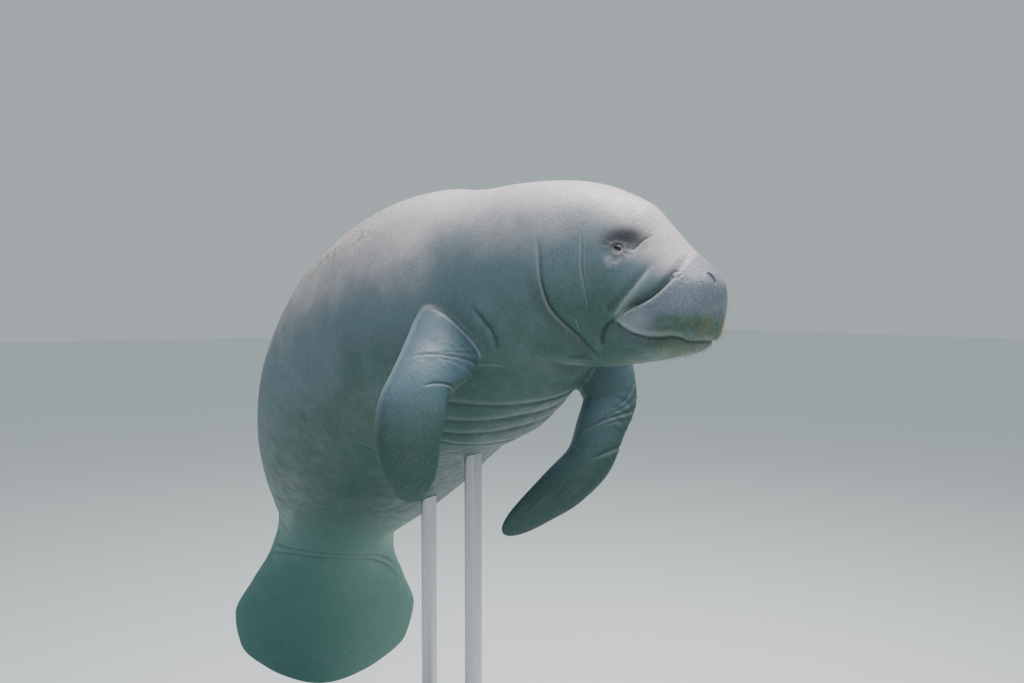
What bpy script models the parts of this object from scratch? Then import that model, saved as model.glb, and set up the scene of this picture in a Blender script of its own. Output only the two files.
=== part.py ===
# A life-size manatee held on a display stand, tail hanging, head turned to its right.
# Lengths are in metres.  The body is first shaped along a straight axis, x behind the nose,
# y to the left and z to the back, and then bent along the spine into the pose.
import math

import bmesh
import bpy
import numpy as np
from mathutils import Vector

BODY_LENGTH = 2.78
MUZZLE_FRONT = 0.031
PART_GAP = 0.0003
HEAD_SCALE = 1.116
HEAD_END = 0.36
SCALE_END = 0.90
PADDLE_SCALE = 0.965
PADDLE_START = 2.00
GIRTH_WIDTH = 1.046
GIRTH_DEPTH = 1.075
GIRTH_CENTRE = 1.20
GIRTH_REACH = 0.50

# distance behind the nose, half width, top, bottom, level of the widest point,
# fullness above and below the widest point
SECTIONS = (
    (0.031, 0.000, -0.014, -0.014, -0.014, 2.0, 2.0),
    (0.036, 0.050, 0.031, -0.061, -0.018, 2.0, 2.3),
    (0.049, 0.076, 0.051, -0.083, -0.024, 1.9, 2.4),
    (0.070, 0.090, 0.069, -0.096, -0.030, 1.8, 2.4),
    (0.094, 0.096, 0.083, -0.106, -0.034, 1.8, 2.3),
    (0.120, 0.099, 0.098, -0.119, -0.034, 1.85, 2.2),
    (0.160, 0.104, 0.125, -0.137, -0.028, 1.9, 2.1),
    (0.206, 0.116, 0.154, -0.155, -0.020, 1.95, 2.1),
    (0.280, 0.144, 0.170, -0.174, -0.012, 2.0, 2.1),
    (0.360, 0.172, 0.180, -0.187, -0.010, 2.0, 2.1),
    (0.450, 0.200, 0.209, -0.212, -0.012, 2.0, 2.15),
    (0.550, 0.230, 0.241, -0.245, -0.015, 2.0, 2.2),
    (0.700, 0.275, 0.286, -0.305, -0.018, 2.05, 2.2),
    (0.900, 0.318, 0.318, -0.326, -0.020, 2.1, 2.2),
    (1.100, 0.342, 0.325, -0.320, -0.020, 2.1, 2.25),
    (1.300, 0.346, 0.313, -0.310, -0.020, 2.1, 2.25),
    (1.500, 0.330, 0.284, -0.284, -0.015, 2.1, 2.2),
    (1.700, 0.288, 0.238, -0.238, -0.010, 2.05, 2.15),
    (1.850, 0.243, 0.190, -0.190, -0.006, 2.0, 2.1),
    (1.960, 0.213, 0.152, -0.152, 0.000, 2.0, 2.0),
    (2.060, 0.208, 0.122, -0.122, 0.000, 1.95, 1.95),
    (2.160, 0.223, 0.094, -0.094, 0.000, 1.8, 1.8),
    (2.300, 0.282, 0.060, -0.060, 0.000, 1.65, 1.65),
    (2.450, 0.340, 0.040, -0.040, 0.000, 1.6, 1.6),
    (2.590, 0.318, 0.027, -0.027, 0.000, 1.6, 1.6),
    (2.700, 0.216, 0.018, -0.018, 0.000, 1.7, 1.7),
    (2.758, 0.106, 0.011, -0.011, 0.000, 1.9, 1.9),
    (2.780, 0.000, 0.000, 0.000, 0.000, 2.0, 2.0),
)

# pose: nose-up pitch, swing to the right and roll of the spine, in degrees, by distance
PITCH = ((0.00, -14), (0.30, -14), (0.50, 19.5), (0.75, 12), (1.00, 24), (1.30, 38.5),
         (1.65, 45), (1.95, 49), (2.30, 65), (2.80, 82))
SWING = ((0.00, -28), (0.30, -28), (0.55, -9.3), (0.90, -4), (1.40, 1.5), (2.00, 4), (2.70, 8))
ROLL = ((0.00, 2.5), (0.30, 2.5), (0.80, 1), (1.60, 5.5), (2.60, 8.5))
ANCHOR_AT = 0.60
ANCHOR = (0.477, 0.041, 1.556)
SPINE_STEP = 0.005


# Curves along the body


def smooth_through(x, knots, values):
    """Smooth curve through the values that never overshoots them."""
    knots = np.asarray(knots, float)
    values = np.asarray(values, float)
    x = np.clip(x, knots[0], knots[-1])
    width = np.diff(knots)
    rise = np.diff(values) / width
    slope = np.zeros_like(values)
    slope[0] = rise[0]
    slope[-1] = rise[-1]
    for i in range(1, len(knots) - 1):
        if rise[i - 1] * rise[i] > 0:
            before = 2 * width[i] + width[i - 1]
            after = width[i] + 2 * width[i - 1]
            slope[i] = (before + after) / (before / rise[i - 1] + after / rise[i])
    k = np.clip(np.searchsorted(knots, x, side="right") - 1, 0, len(knots) - 2)
    t = (x - knots[k]) / width[k]
    start = (2 * t**3 - 3 * t**2 + 1) * values[k] + (t**3 - 2 * t**2 + t) * width[k] * slope[k]
    end = (3 * t**2 - 2 * t**3) * values[k + 1] + (t**3 - t**2) * width[k] * slope[k + 1]
    return start + end


def stretch(x):
    """Length coordinate from 0 to 1 that keeps both ends of the body round."""
    part = (np.asarray(x, float) - MUZZLE_FRONT * HEAD_SCALE) / (BODY_LENGTH - MUZZLE_FRONT * HEAD_SCALE)
    return np.arccos(np.clip(1 - 2 * part, -1, 1)) / math.pi


def unstretch(u):
    front = MUZZLE_FRONT * HEAD_SCALE
    return front + (BODY_LENGTH - front) * (1 - np.cos(math.pi * np.asarray(u, float))) / 2


def section_table():
    """The sections with the head, girth and paddle scales put in."""
    table = np.array(SECTIONS, float)
    x = table[:, 0].copy()
    near = x <= HEAD_END
    between = (x > HEAD_END) & (x < SCALE_END)
    head_end = HEAD_END * HEAD_SCALE
    table[near, 0] = x[near] * HEAD_SCALE
    table[between, 0] = head_end + (x[between] - HEAD_END) * (SCALE_END - head_end) / (SCALE_END - HEAD_END)
    fade = np.clip((SCALE_END - x) / (SCALE_END - HEAD_END), 0, 1)
    scale = 1 + (HEAD_SCALE - 1) * fade
    paddle = 1 + (PADDLE_SCALE - 1) * np.clip((x - PADDLE_START) / 0.3, 0, 1)
    girth = np.exp(-((table[:, 0] - GIRTH_CENTRE) / GIRTH_REACH) ** 2)
    table[:, 1] *= scale * paddle * (1 + (GIRTH_WIDTH - 1) * girth)
    table[:, 2] *= scale * (1 + (GIRTH_DEPTH - 1) * girth)
    table[:, 3] *= scale * (1 + (GIRTH_DEPTH - 1) * girth)
    table[:, 4] *= scale
    return table


TABLE = section_table()


def section_at(x):
    """Half width, top, bottom, widest level and the two fullnesses at x."""
    u = stretch(x)
    knots = stretch(TABLE[:, 0])
    return [smooth_through(u, knots, TABLE[:, i]) for i in range(1, 7)]


def straight_point(x, turn):
    """Point of the plain straight body; turn is 0 at the left, a quarter turn at the back."""
    half, top, bottom, level, full_top, full_bottom = section_at(x)
    c = np.cos(turn)
    s = np.sin(turn)
    power = 2 / np.where(s >= 0, full_top, full_bottom)
    y = half * np.sign(c) * np.abs(c) ** power
    z = level + np.where(s >= 0, top - level, level - bottom) * np.sign(s) * np.abs(s) ** power
    return np.stack([x + 0 * y, y, z], -1)


def spine_angles(x):
    pitch = smooth_through(x, *zip(*PITCH))
    swing = smooth_through(x, *zip(*SWING))
    roll = smooth_through(x, *zip(*ROLL))
    return np.radians(pitch), np.radians(swing), np.radians(roll)


def spine_frame(x):
    """Forward, left and up directions of the spine at x."""
    pitch, swing, roll = spine_angles(x)
    zero = 0 * pitch
    forward = np.stack([np.cos(pitch) * np.cos(swing), -np.cos(pitch) * np.sin(swing), np.sin(pitch)], -1)
    up = np.stack([-np.sin(pitch) * np.cos(swing), np.sin(pitch) * np.sin(swing), np.cos(pitch)], -1)
    left = np.stack([np.sin(swing), np.cos(swing), zero], -1)
    c = np.cos(roll)[..., None]
    s = np.sin(roll)[..., None]
    return forward, left * c - up * s, up * c + left * s


def spine_line():
    stations = np.arange(0, BODY_LENGTH + SPINE_STEP / 2, SPINE_STEP)
    forward = spine_frame(stations)[0]
    centre = np.zeros((len(stations), 3))
    centre[1:] = -np.cumsum((forward[1:] + forward[:-1]) / 2 * SPINE_STEP, 0)
    anchor = np.array([np.interp(ANCHOR_AT, stations, centre[:, i]) for i in range(3)])
    return stations, centre - anchor + np.array(ANCHOR)


SPINE_X, SPINE_CENTRE = spine_line()


def bend(points):
    """Carry points of the straight body into the pose."""
    x = points[..., 0]
    forward, left, up = spine_frame(x)
    centre = np.stack([np.interp(x, SPINE_X, SPINE_CENTRE[:, i]) for i in range(3)], -1)
    ahead = np.minimum(x, 0)[..., None] + np.maximum(x - BODY_LENGTH, 0)[..., None]
    return centre - forward * ahead + left * points[..., 1:2] + up * points[..., 2:3]


# folds of the straight body, as x and z on the side: each runs from its upper or front end
MUZZLE_FOLD = ((0.108, 0.112), (0.110, 0.096), (0.111, 0.063), (0.114, 0.045), (0.127, 0.011),
               (0.140, -0.008), (0.156, -0.024), (0.173, -0.038), (0.187, -0.053), (0.197, -0.066))
CHEEK_FOLD = ((0.156, 0.062), (0.163, 0.045), (0.170, 0.024), (0.181, -0.004), (0.193, -0.029),
              (0.202, -0.050), (0.206, -0.064))
LIP_LINE = ((0.034, -0.064), (0.046, -0.070), (0.056, -0.073), (0.070, -0.070), (0.082, -0.071),
            (0.105, -0.079), (0.135, -0.085), (0.156, -0.084), (0.176, -0.079), (0.198, -0.069))
JAW_CREASE = ((0.198, -0.069), (0.209, -0.080), (0.217, -0.100), (0.221, -0.132))
NECK_FOLD = ((0.366, 0.070), (0.356, 0.032), (0.346, -0.021), (0.325, -0.072), (0.290, -0.102),
             (0.263, -0.120), (0.246, -0.137), (0.228, -0.150))
NECK_CREASE = ((0.306, 0.090), (0.296, 0.070), (0.277, 0.013), (0.249, -0.052), (0.239, -0.085))
SHOULDER_CREASE = ((0.474, -0.060), (0.466, -0.095), (0.460, -0.127), (0.478, -0.172))
BROW_CREASE = ((0.204, 0.068), (0.199, 0.080), (0.193, 0.096), (0.181, 0.111))
# station and bow of each fold under the belly and on the tail stock, and where each is lowest
BELLY_FOLDS = ((0.552, 1.5), (0.598, 1.5), (0.641, 1.4), (0.700, 1.0), (0.790, 0.5), (0.970, 0.3))
BELLY_MIDDLE = 0.05
STOCK_FOLDS = ((2.030, 2.8), (2.078, 2.6))
STOCK_MIDDLE = -0.04
# how far the lower jaw stands back from the upper lip at the front, and over what length
JAW_SETBACK = 0.003
JAW_SETBACK_END = 0.105
EYE = (0.230, 0.069)
EYE_HOLLOW = (0.219, 0.088)
EYE_RADIUS = 0.0125
EYE_SINK = 0.0113
LID_RADIUS = 0.0125
NOSTRIL = (0.058, 0.035)


def ease(v):
    v = np.clip(v, 0, 1)
    return v * v * (3 - 2 * v)


def bell(distance, reach):
    return np.exp(-(distance / reach) ** 2)


def swell(v):
    """Rounded ridge beside a crease: zero at the crease, one at a distance of one."""
    v = np.maximum(v, 0)
    return v * np.exp(1 - v)


def curve_through(points, count=40):
    """Evenly sampled smooth curve through a few points."""
    points = np.asarray(points, float)
    length = np.concatenate([[0], np.cumsum(np.linalg.norm(np.diff(points, axis=0), axis=1))])
    along = np.linspace(0, length[-1], count)
    return np.stack([smooth_through(along, length, points[:, i]) for i in range(points.shape[1])], 1)


def from_path(p, q, path):
    """Signed distance to a path in the plane, positive on its right, and the share along it."""
    line = curve_through(path)
    best = np.full(np.shape(p), 1e9)
    side = np.zeros(np.shape(p))
    share = np.zeros(np.shape(p))
    for i in range(len(line) - 1):
        a, b = line[i], line[i + 1]
        d = b - a
        t = np.clip(((p - a[0]) * d[0] + (q - a[1]) * d[1]) / (d @ d), 0, 1)
        rp = p - a[0] - t * d[0]
        rq = q - a[1] - t * d[1]
        distance = np.hypot(rp, rq)
        nearer = distance < best
        best = np.where(nearer, distance, best)
        side = np.where(nearer, np.where(d[0] * rq - d[1] * rp > 0, -1, 1), side)
        share = np.where(nearer, (i + t) / (len(line) - 1), share)
    return best * side, share


def fold(p, q, path, depth, width, right=0, right_width=0.02, left=0, left_width=0.02, slope=1,
         fade=(0.15, 0.15)):
    """A crease along a path with the skin raised on either side; its left flank is slope times wider."""
    distance, share = from_path(p, q, path)
    rise = -depth * bell(distance, np.where(distance > 0, width, width * slope))
    rise += right * swell(distance / right_width)
    rise += left * swell(-distance / left_width)
    ends = ease(share / fade[0]) if fade[0] else 1
    ends = ends * (ease((1 - share) / fade[1]) if fade[1] else 1)
    return rise * ends


def head_relief(x, y, z):
    """Muzzle pads, folds, lips, eye hollow and lids."""
    rise = fold(x, z, MUZZLE_FOLD, 0.0060, 0.0035, right=0.005, right_width=0.014, slope=2.6,
                fade=(0.45, 0.06))
    rise += fold(x, z, CHEEK_FOLD, 0.0025, 0.0035, right=0.005, right_width=0.009, slope=2.0,
                 fade=(0.50, 0.12))
    rise += fold(x, z, LIP_LINE, 0.0050, 0.0035, right=0.001, right_width=0.010, left=0.004,
                 left_width=0.012, fade=(0.0, 0.06))
    rise += fold(x, z, JAW_CREASE, 0.0050, 0.0040, left=0.002, left_width=0.014, fade=(0.06, 0.30))
    lip = np.interp(x, *zip(*LIP_LINE))
    rise -= JAW_SETBACK * ease((lip - z) / 0.008) * ease((JAW_SETBACK_END - x) / 0.05)
    rise += 0.004 * bell(np.hypot(x - 0.066, z - 0.044), 0.020)
    rise -= 0.008 * bell(np.hypot(x - EYE_HOLLOW[0], z - EYE_HOLLOW[1]), 0.027)
    rise += fold(x, z, BROW_CREASE, 0.002, 0.003, fade=(0.2, 0.3))
    from_eye = np.hypot(x - EYE[0], z - EYE[1])
    rise += 0.0015 * bell(from_eye - LID_RADIUS, 0.005)
    return rise


def under_fold(x, y, station, bow, middle, depth, width):
    """A crease across the underside that bows back at both sides, with full skin before it."""
    d = x - station - bow * (y - middle) ** 2
    return depth * (0.6 * swell(-d / (4 * width)) - bell(d, width))


def trunk_relief(x, y, z):
    """Folds of the neck, shoulder, belly and tail stock."""
    rise = fold(x, z, NECK_FOLD, 0.006, 0.004, right=0.004, right_width=0.024, left=0.002,
                left_width=0.024, slope=1.8, fade=(0.45, 0.08))
    rise += fold(x, z, NECK_CREASE, 0.0009, 0.003, fade=(0.3, 0.3))
    rise += fold(x, z, SHOULDER_CREASE, 0.004, 0.005, right=0.001, left=0.001, fade=(0.3, 0.3))
    under = ease((-z - 0.17) / 0.07)
    for station, bow in BELLY_FOLDS:
        rise += under * under_fold(x, y, station, bow, BELLY_MIDDLE, 0.0035, 0.005)
    stock = ease(-z / 0.05)
    for station, bow in STOCK_FOLDS:
        rise += stock * under_fold(x, y, station, bow, STOCK_MIDDLE, 0.0040, 0.006)
    return rise


def relief(x, y, z):
    return head_relief(x, y, z) * (x < 0.32) + trunk_relief(x, y, z)


def plain_normal(x, turn):
    """Direction out of the plain straight body."""
    step = 1e-4
    point = straight_point(x, turn)
    normal = np.cross(straight_point(x, turn + step) - point, straight_point(x + step, turn) - point)
    normal /= np.maximum(np.linalg.norm(normal, axis=-1, keepdims=True), 1e-12)
    outward = np.sign((normal * point * (0, 1, 1)).sum(-1, keepdims=True))
    return normal * np.where(outward == 0, 1, outward)


def skin_points(x, turn, shape):
    """Straight-body points raised by a relief."""
    plain = straight_point(x, turn)
    rise = shape(plain[..., 0], plain[..., 1], plain[..., 2])
    return plain + plain_normal(x, turn) * rise[..., None]


# Building the solids

HEAD_ROWS = 96
TRUNK_ROWS = 76
AROUND = 144
HEAD_ROWS_END = 0.44
BODY_TRIANGLES = 6400
CUTS = (("neck", 0.400), ("chest", 0.485), ("belly", 0.960), ("loin", 1.460), ("tail_stock", 1.860),
        ("tail_paddle", 2.120))
JAW_HALF_WIDTH = 0.22
JAW_FLOOR = -0.26

# flipper stations: distance ahead, left and up from the spine's anchor, half width, half thickness
FLIPPER_RIGHT = (
    (0.064, -0.067, -0.043, 0.092, 0.062),
    (0.101, -0.166, -0.055, 0.082, 0.048),
    (0.156, -0.237, -0.121, 0.077, 0.037),
    (0.193, -0.296, -0.174, 0.063, 0.031),
    (0.214, -0.324, -0.223, 0.068, 0.026),
    (0.232, -0.339, -0.290, 0.064, 0.021),
    (0.246, -0.339, -0.352, 0.058, 0.016),
    (0.251, -0.333, -0.392, 0.054, 0.013),
)
FLIPPER_LEFT = (
    (0.042, 0.133, -0.063, 0.090, 0.062),
    (0.064, 0.228, -0.143, 0.080, 0.050),
    (0.091, 0.243, -0.228, 0.066, 0.038),
    (0.107, 0.205, -0.307, 0.058, 0.031),
    (0.120, 0.161, -0.378, 0.055, 0.026),
    (0.114, 0.107, -0.425, 0.054, 0.021),
    (0.097, 0.034, -0.478, 0.044, 0.016),
    (0.070, -0.039, -0.533, 0.036, 0.013),
)
RIGHT_EDGE = (0.46, 0.82, -0.35)
LEFT_EDGE = (0.50, 0.87, 0.05)
FLIPPER_ROWS = 26
TIP_ROUNDING = 12
FLIPPER_AROUND = 22

BASE_SIZE = (1.06, 0.64, 0.030)
BASE_CENTRE = (0.0, 0.0)
BASE_BEVEL = 0.006
RODS = (("stand_rod_front", 0.287, 0.061), ("stand_rod_rear", -0.053, 0.091))
ROD_RADIUS = 0.022
ROD_SIDES = 32

SKIN_BACK = (0.42, 0.40, 0.40)
SKIN_SIDE = (0.30, 0.33, 0.34)
SKIN_BELOW = (0.19, 0.23, 0.22)
EYE_COLOUR = (0.020, 0.018, 0.016)
BASE_COLOUR = (0.10, 0.10, 0.11)
ROD_COLOUR = (0.62, 0.62, 0.63)
# colour, roughness and metallic value of each sub-part
FINISH = {
    "head": (SKIN_SIDE, 0.50, 0.0),
    "lower_jaw": (SKIN_BELOW, 0.50, 0.0),
    "neck": (SKIN_SIDE, 0.50, 0.0),
    "chest": (SKIN_BACK, 0.50, 0.0),
    "belly": (SKIN_BACK, 0.50, 0.0),
    "loin": (SKIN_SIDE, 0.50, 0.0),
    "tail_stock": (SKIN_BELOW, 0.50, 0.0),
    "tail_paddle": (SKIN_BELOW, 0.50, 0.0),
    "flipper_right": (SKIN_SIDE, 0.50, 0.0),
    "flipper_left": (SKIN_SIDE, 0.50, 0.0),
    "eye_right": (EYE_COLOUR, 0.08, 0.0),
    "eye_left": (EYE_COLOUR, 0.08, 0.0),
    "stand_base": (BASE_COLOUR, 0.45, 0.0),
    "stand_rod_front": (ROD_COLOUR, 0.30, 1.0),
    "stand_rod_rear": (ROD_COLOUR, 0.30, 1.0),
}
SHARP_ANGLE = math.radians(40)


def clear_scene():
    for item in list(bpy.data.objects):
        bpy.data.objects.remove(item, do_unlink=True)


def mesh_from(vertices, faces):
    mesh = bpy.data.meshes.new("shape")
    mesh.from_pydata([tuple(v) for v in np.asarray(vertices, float)], [], faces)
    bm = bmesh.new()
    bm.from_mesh(mesh)
    bmesh.ops.recalc_face_normals(bm, faces=bm.faces)
    bpy.data.meshes.remove(mesh)
    return bm


def tube_mesh(rows, first=None, last=None):
    """Closed mesh from rings of points, closed by a point or by a flat end."""
    count, around = rows.shape[:2]
    vertices = [p for row in rows for p in row]
    faces = []
    for i in range(count - 1):
        for j in range(around):
            k = (j + 1) % around
            a, b = i * around, (i + 1) * around
            faces.append((a + j, a + k, b + k, b + j))
    for tip, start in ((first, 0), (last, (count - 1) * around)):
        ring = [start + j for j in range(around)]
        if tip is None:
            faces.append(ring)
            continue
        vertices.append(tip)
        for j in range(around):
            faces.append((ring[j], ring[(j + 1) % around], len(vertices) - 1))
    return mesh_from(vertices, faces)


def to_object(bm, name):
    mesh = bpy.data.meshes.new(name)
    bm.to_mesh(mesh)
    bm.free()
    item = bpy.data.objects.new(name, mesh)
    bpy.context.scene.collection.objects.link(item)
    return item


def baked(item):
    """The mesh of an object after its modifiers; the object goes."""
    bpy.context.view_layer.update()
    graph = bpy.context.evaluated_depsgraph_get()
    mesh = bpy.data.meshes.new_from_object(item.evaluated_get(graph))
    bm = bmesh.new()
    bm.from_mesh(mesh)
    bpy.data.meshes.remove(mesh)
    bpy.data.objects.remove(item, do_unlink=True)
    return bm


def thinned(bm, triangles):
    bmesh.ops.triangulate(bm, faces=bm.faces)
    share = triangles / len(bm.faces)
    item = to_object(bm, "thinned")
    modifier = item.modifiers.new("Thin", "DECIMATE")
    modifier.ratio = share
    return baked(item)


def largest(bm):
    """Keep only the largest closed surface."""
    left = set(bm.verts)
    groups = []
    while left:
        stack = [left.pop()]
        group = list(stack)
        while stack:
            for edge in stack.pop().link_edges:
                for vertex in edge.verts:
                    if vertex in left:
                        left.remove(vertex)
                        stack.append(vertex)
                        group.append(vertex)
        groups.append(group)
    groups.sort(key=spread)
    for group in groups[:-1]:
        bmesh.ops.delete(bm, geom=group, context="VERTS")
    return bm


def spread(group):
    points = np.array([v.co for v in group])
    return float(np.prod(points.max(0) - points.min(0) + 1e-6))


def combined(bm, cutter, operation):
    """Boolean of two meshes; the cutter stays."""
    item = to_object(bm, "piece")
    tool = to_object(cutter.copy(), "cutter")
    tool.hide_render = True
    tool.display_type = "WIRE"
    modifier = item.modifiers.new("Cut", "BOOLEAN")
    modifier.operation = operation
    modifier.solver = "EXACT"
    modifier.object = tool
    result = baked(item)
    bpy.data.objects.remove(tool, do_unlink=True)
    return largest(result)


def inflated(bm, distance):
    grown = bm.copy()
    grown.normal_update()
    moves = [vertex.normal * distance for vertex in grown.verts]
    for vertex, move in zip(grown.verts, moves):
        vertex.co += move
    return grown


def side_of(bm, origin, direction, keep_ahead):
    """The part of a mesh on one side of a plane, closed by a flat face."""
    piece = bm.copy()
    cut = bmesh.ops.bisect_plane(piece, geom=piece.verts[:] + piece.edges[:] + piece.faces[:], dist=1e-7,
                                 plane_co=origin, plane_no=direction, clear_inner=keep_ahead,
                                 clear_outer=not keep_ahead)
    rim = [e for e in cut["geom_cut"] if isinstance(e, bmesh.types.BMEdge)]
    bmesh.ops.holes_fill(piece, edges=rim, sides=0)
    bmesh.ops.recalc_face_normals(piece, faces=piece.faces)
    return largest(piece)


def body_mesh():
    head = np.linspace(0, stretch(HEAD_ROWS_END), HEAD_ROWS + 1)[1:]
    trunk = np.linspace(stretch(HEAD_ROWS_END), 1, TRUNK_ROWS + 1)[1:-1]
    stations = unstretch(np.concatenate([head, trunk]))
    turns = np.arange(AROUND) * 2 * math.pi / AROUND
    grid = skin_points(stations[:, None], turns[None, :], relief)
    nose = straight_point(np.array([MUZZLE_FRONT * HEAD_SCALE]), np.array([0.0]))
    tip = straight_point(np.array([BODY_LENGTH]), np.array([0.0]))
    return tube_mesh(bend(grid), bend(nose)[0], bend(tip)[0])


def skin_spot(x, side, height=None, across=None):
    """World point and outward direction of the skin at x, side 1 left or -1 right.

    The spot is at the given height on the flank, or at the given distance across the top.
    """
    turns = np.linspace(0, 2 * math.pi, 1441)
    ring = skin_points(x, turns, relief)
    if across is None:
        fits = np.where(ring[:, 1] * side > 0, np.abs(ring[:, 2] - height), 1e9)
    else:
        fits = np.where(ring[:, 2] > 0, np.abs(ring[:, 1] - side * across), 1e9)
    k = int(np.argmin(fits))
    ends = bend(np.stack([ring[k], ring[k] + plain_normal(x, turns[k]) * 0.01]))
    direction = Vector(ends[1] - ends[0]).normalized()
    return Vector(ends[0]), direction


def ball(centre, radius, segments, rings):
    bm = bmesh.new()
    bmesh.ops.create_uvsphere(bm, u_segments=segments, v_segments=rings, radius=radius)
    bmesh.ops.translate(bm, verts=bm.verts, vec=centre)
    return bm


def nostril_cutter(side):
    """Bent slit, wider in the middle, sunk into the top of the muzzle."""
    spot, out = skin_spot(NOSTRIL[0], side, across=NOSTRIL[1])
    forward, left, up = [Vector(v) for v in np.array(spine_frame(np.array(0.05)))]
    along = (forward * 0.75 - up * 0.65 - left * side * 0.25)
    along = (along - out * along.dot(out)).normalized()
    across = out.cross(along).normalized() * side
    rows = []
    for v in np.linspace(-1, 1, 9):
        size = math.sqrt(max(1 - v * v * 0.96, 0))
        middle = spot + along * (0.013 * v) - across * (0.005 * (1 - v * v)) - out * 0.002
        ring = []
        for turn in np.arange(10) * 2 * math.pi / 10:
            wide = across * (math.cos(turn) * 0.0032 * size)
            deep = out * (math.sin(turn) * 0.0085 * size)
            ring.append(middle + wide + deep)
        rows.append(ring)
    return tube_mesh(np.array(rows))


def jaw_prism(inset):
    """Straight-sided block below the lip line and ahead of the jaw crease, bent with the head."""
    line = [(0.0, LIP_LINE[0][1])] + list(LIP_LINE) + list(JAW_CREASE[1:]) + [(0.240, -0.180)]
    line = curve_through(line, 48)
    step = np.gradient(line, axis=0)
    step /= np.linalg.norm(step, axis=1, keepdims=True)
    line = line + np.stack([step[:, 1], -step[:, 0]], 1) * inset
    outline = list(line) + [(line[-1][0], JAW_FLOOR), (line[0][0], JAW_FLOOR)]
    rows = [[(p, y, q) for p, q in outline] for y in (-JAW_HALF_WIDTH, JAW_HALF_WIDTH)]
    return tube_mesh(bend(np.array(rows)))


def flipper_mesh(stations, edge):
    table = np.array(stations, float)
    points = table[:, :3] + np.array(ANCHOR)
    length = np.concatenate([[0], np.cumsum(np.linalg.norm(np.diff(points, axis=0), axis=1))])
    length /= length[-1]
    share = np.sin(np.linspace(0, 0.995, FLIPPER_ROWS) * math.pi / 2)
    line = np.stack([smooth_through(share, length, points[:, i]) for i in range(3)], 1)
    wide = smooth_through(share, length, table[:, 3]) * np.sqrt(1 - share**TIP_ROUNDING)
    thick = smooth_through(share, length, table[:, 4]) * np.sqrt(1 - share**TIP_ROUNDING)
    tangent = np.gradient(line, axis=0)
    tangent /= np.linalg.norm(tangent, axis=1, keepdims=True)
    edge = np.array(edge, float)
    across = edge - tangent * (tangent @ edge)[:, None]
    across /= np.linalg.norm(across, axis=1, keepdims=True)
    flat = np.cross(tangent, across)
    turns = np.arange(FLIPPER_AROUND) * 2 * math.pi / FLIPPER_AROUND
    rows = line[:, None] + across[:, None] * (wide[:, None] * np.cos(turns))[..., None]
    rows = rows + flat[:, None] * (thick[:, None] * np.sin(turns))[..., None]
    return tube_mesh(rows, None, points[-1])


def rod_mesh(x, y):
    bm = bmesh.new()
    bottom = BASE_SIZE[2] + PART_GAP
    top = ANCHOR[2]
    bmesh.ops.create_cone(bm, cap_ends=True, segments=ROD_SIDES, radius1=ROD_RADIUS, radius2=ROD_RADIUS,
                          depth=top - bottom)
    bmesh.ops.translate(bm, verts=bm.verts, vec=(x, y, (top + bottom) / 2))
    return bm


def base_mesh():
    bm = bmesh.new()
    bmesh.ops.create_cube(bm, size=1)
    bmesh.ops.scale(bm, verts=bm.verts, vec=BASE_SIZE)
    bmesh.ops.translate(bm, verts=bm.verts, vec=(BASE_CENTRE[0], BASE_CENTRE[1], BASE_SIZE[2] / 2))
    item = to_object(bm, "base")
    modifier = item.modifiers.new("Edge", "BEVEL")
    modifier.width = BASE_BEVEL
    modifier.segments = 2
    return baked(item)


def finish(name):
    colour, roughness, metallic = FINISH[name]
    material = bpy.data.materials.new(name)
    material.use_nodes = True
    shader = material.node_tree.nodes["Principled BSDF"]
    shader.inputs["Base Color"].default_value = (*colour, 1)
    shader.inputs["Roughness"].default_value = roughness
    shader.inputs["Metallic"].default_value = metallic
    return material


def place(bm, name, parent):
    """Make the sub-part's object, its origin in its own middle."""
    bmesh.ops.triangulate(bm, faces=bm.faces)
    points = np.array([v.co for v in bm.verts])
    middle = Vector(np.round((points.min(0) + points.max(0)) / 2, 3))
    bmesh.ops.translate(bm, verts=bm.verts, vec=-middle)
    item = to_object(bm, name)
    item.location = middle
    item.parent = parent
    item.data.materials.append(finish(name))
    item.data.shade_smooth()
    item.data.set_sharp_from_angle(angle=SHARP_ANGLE)


def build():
    clear_scene()
    whole = thinned(body_mesh(), BODY_TRIANGLES)
    grown = inflated(whole, PART_GAP)
    nodes = {}
    nodes["flipper_right"] = combined(flipper_mesh(FLIPPER_RIGHT, RIGHT_EDGE), grown, "DIFFERENCE")
    nodes["flipper_left"] = combined(flipper_mesh(FLIPPER_LEFT, LEFT_EDGE), grown, "DIFFERENCE")
    for name, x, y in RODS:
        nodes[name] = combined(rod_mesh(x, y), grown, "DIFFERENCE")
    rest = whole
    before = "head"
    for name, station in CUTS:
        forward = Vector(spine_frame(np.array(station))[0])
        centre = Vector(bend(np.array([station, 0.0, 0.0])))
        nodes[before] = side_of(rest, centre + forward * (PART_GAP / 2), forward, True)
        rest = side_of(rest, centre - forward * (PART_GAP / 2), forward, False)
        before = name
    nodes[before] = rest
    jaw = combined(nodes["head"].copy(), jaw_prism(PART_GAP), "INTERSECT")
    head = combined(nodes["head"], jaw_prism(0.0), "DIFFERENCE")
    nodes["lower_jaw"] = jaw
    for name, side in (("right", -1), ("left", 1)):
        spot, out = skin_spot(EYE[0], side, height=EYE[1])
        centre = spot - out * EYE_SINK
        nodes["eye_" + name] = ball(centre, EYE_RADIUS, 16, 10)
        head = combined(head, ball(centre, EYE_RADIUS + PART_GAP, 16, 10), "DIFFERENCE")
        head = combined(head, nostril_cutter(side), "DIFFERENCE")
    nodes["head"] = head
    nodes["stand_base"] = base_mesh()
    model = bpy.data.objects.new("manatee", None)
    bpy.context.scene.collection.objects.link(model)
    for name in sorted(nodes):
        place(nodes[name], name, model)


build()
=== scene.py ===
import math

import bpy
import numpy as np
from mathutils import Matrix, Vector
from mathutils.kdtree import KDTree


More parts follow.
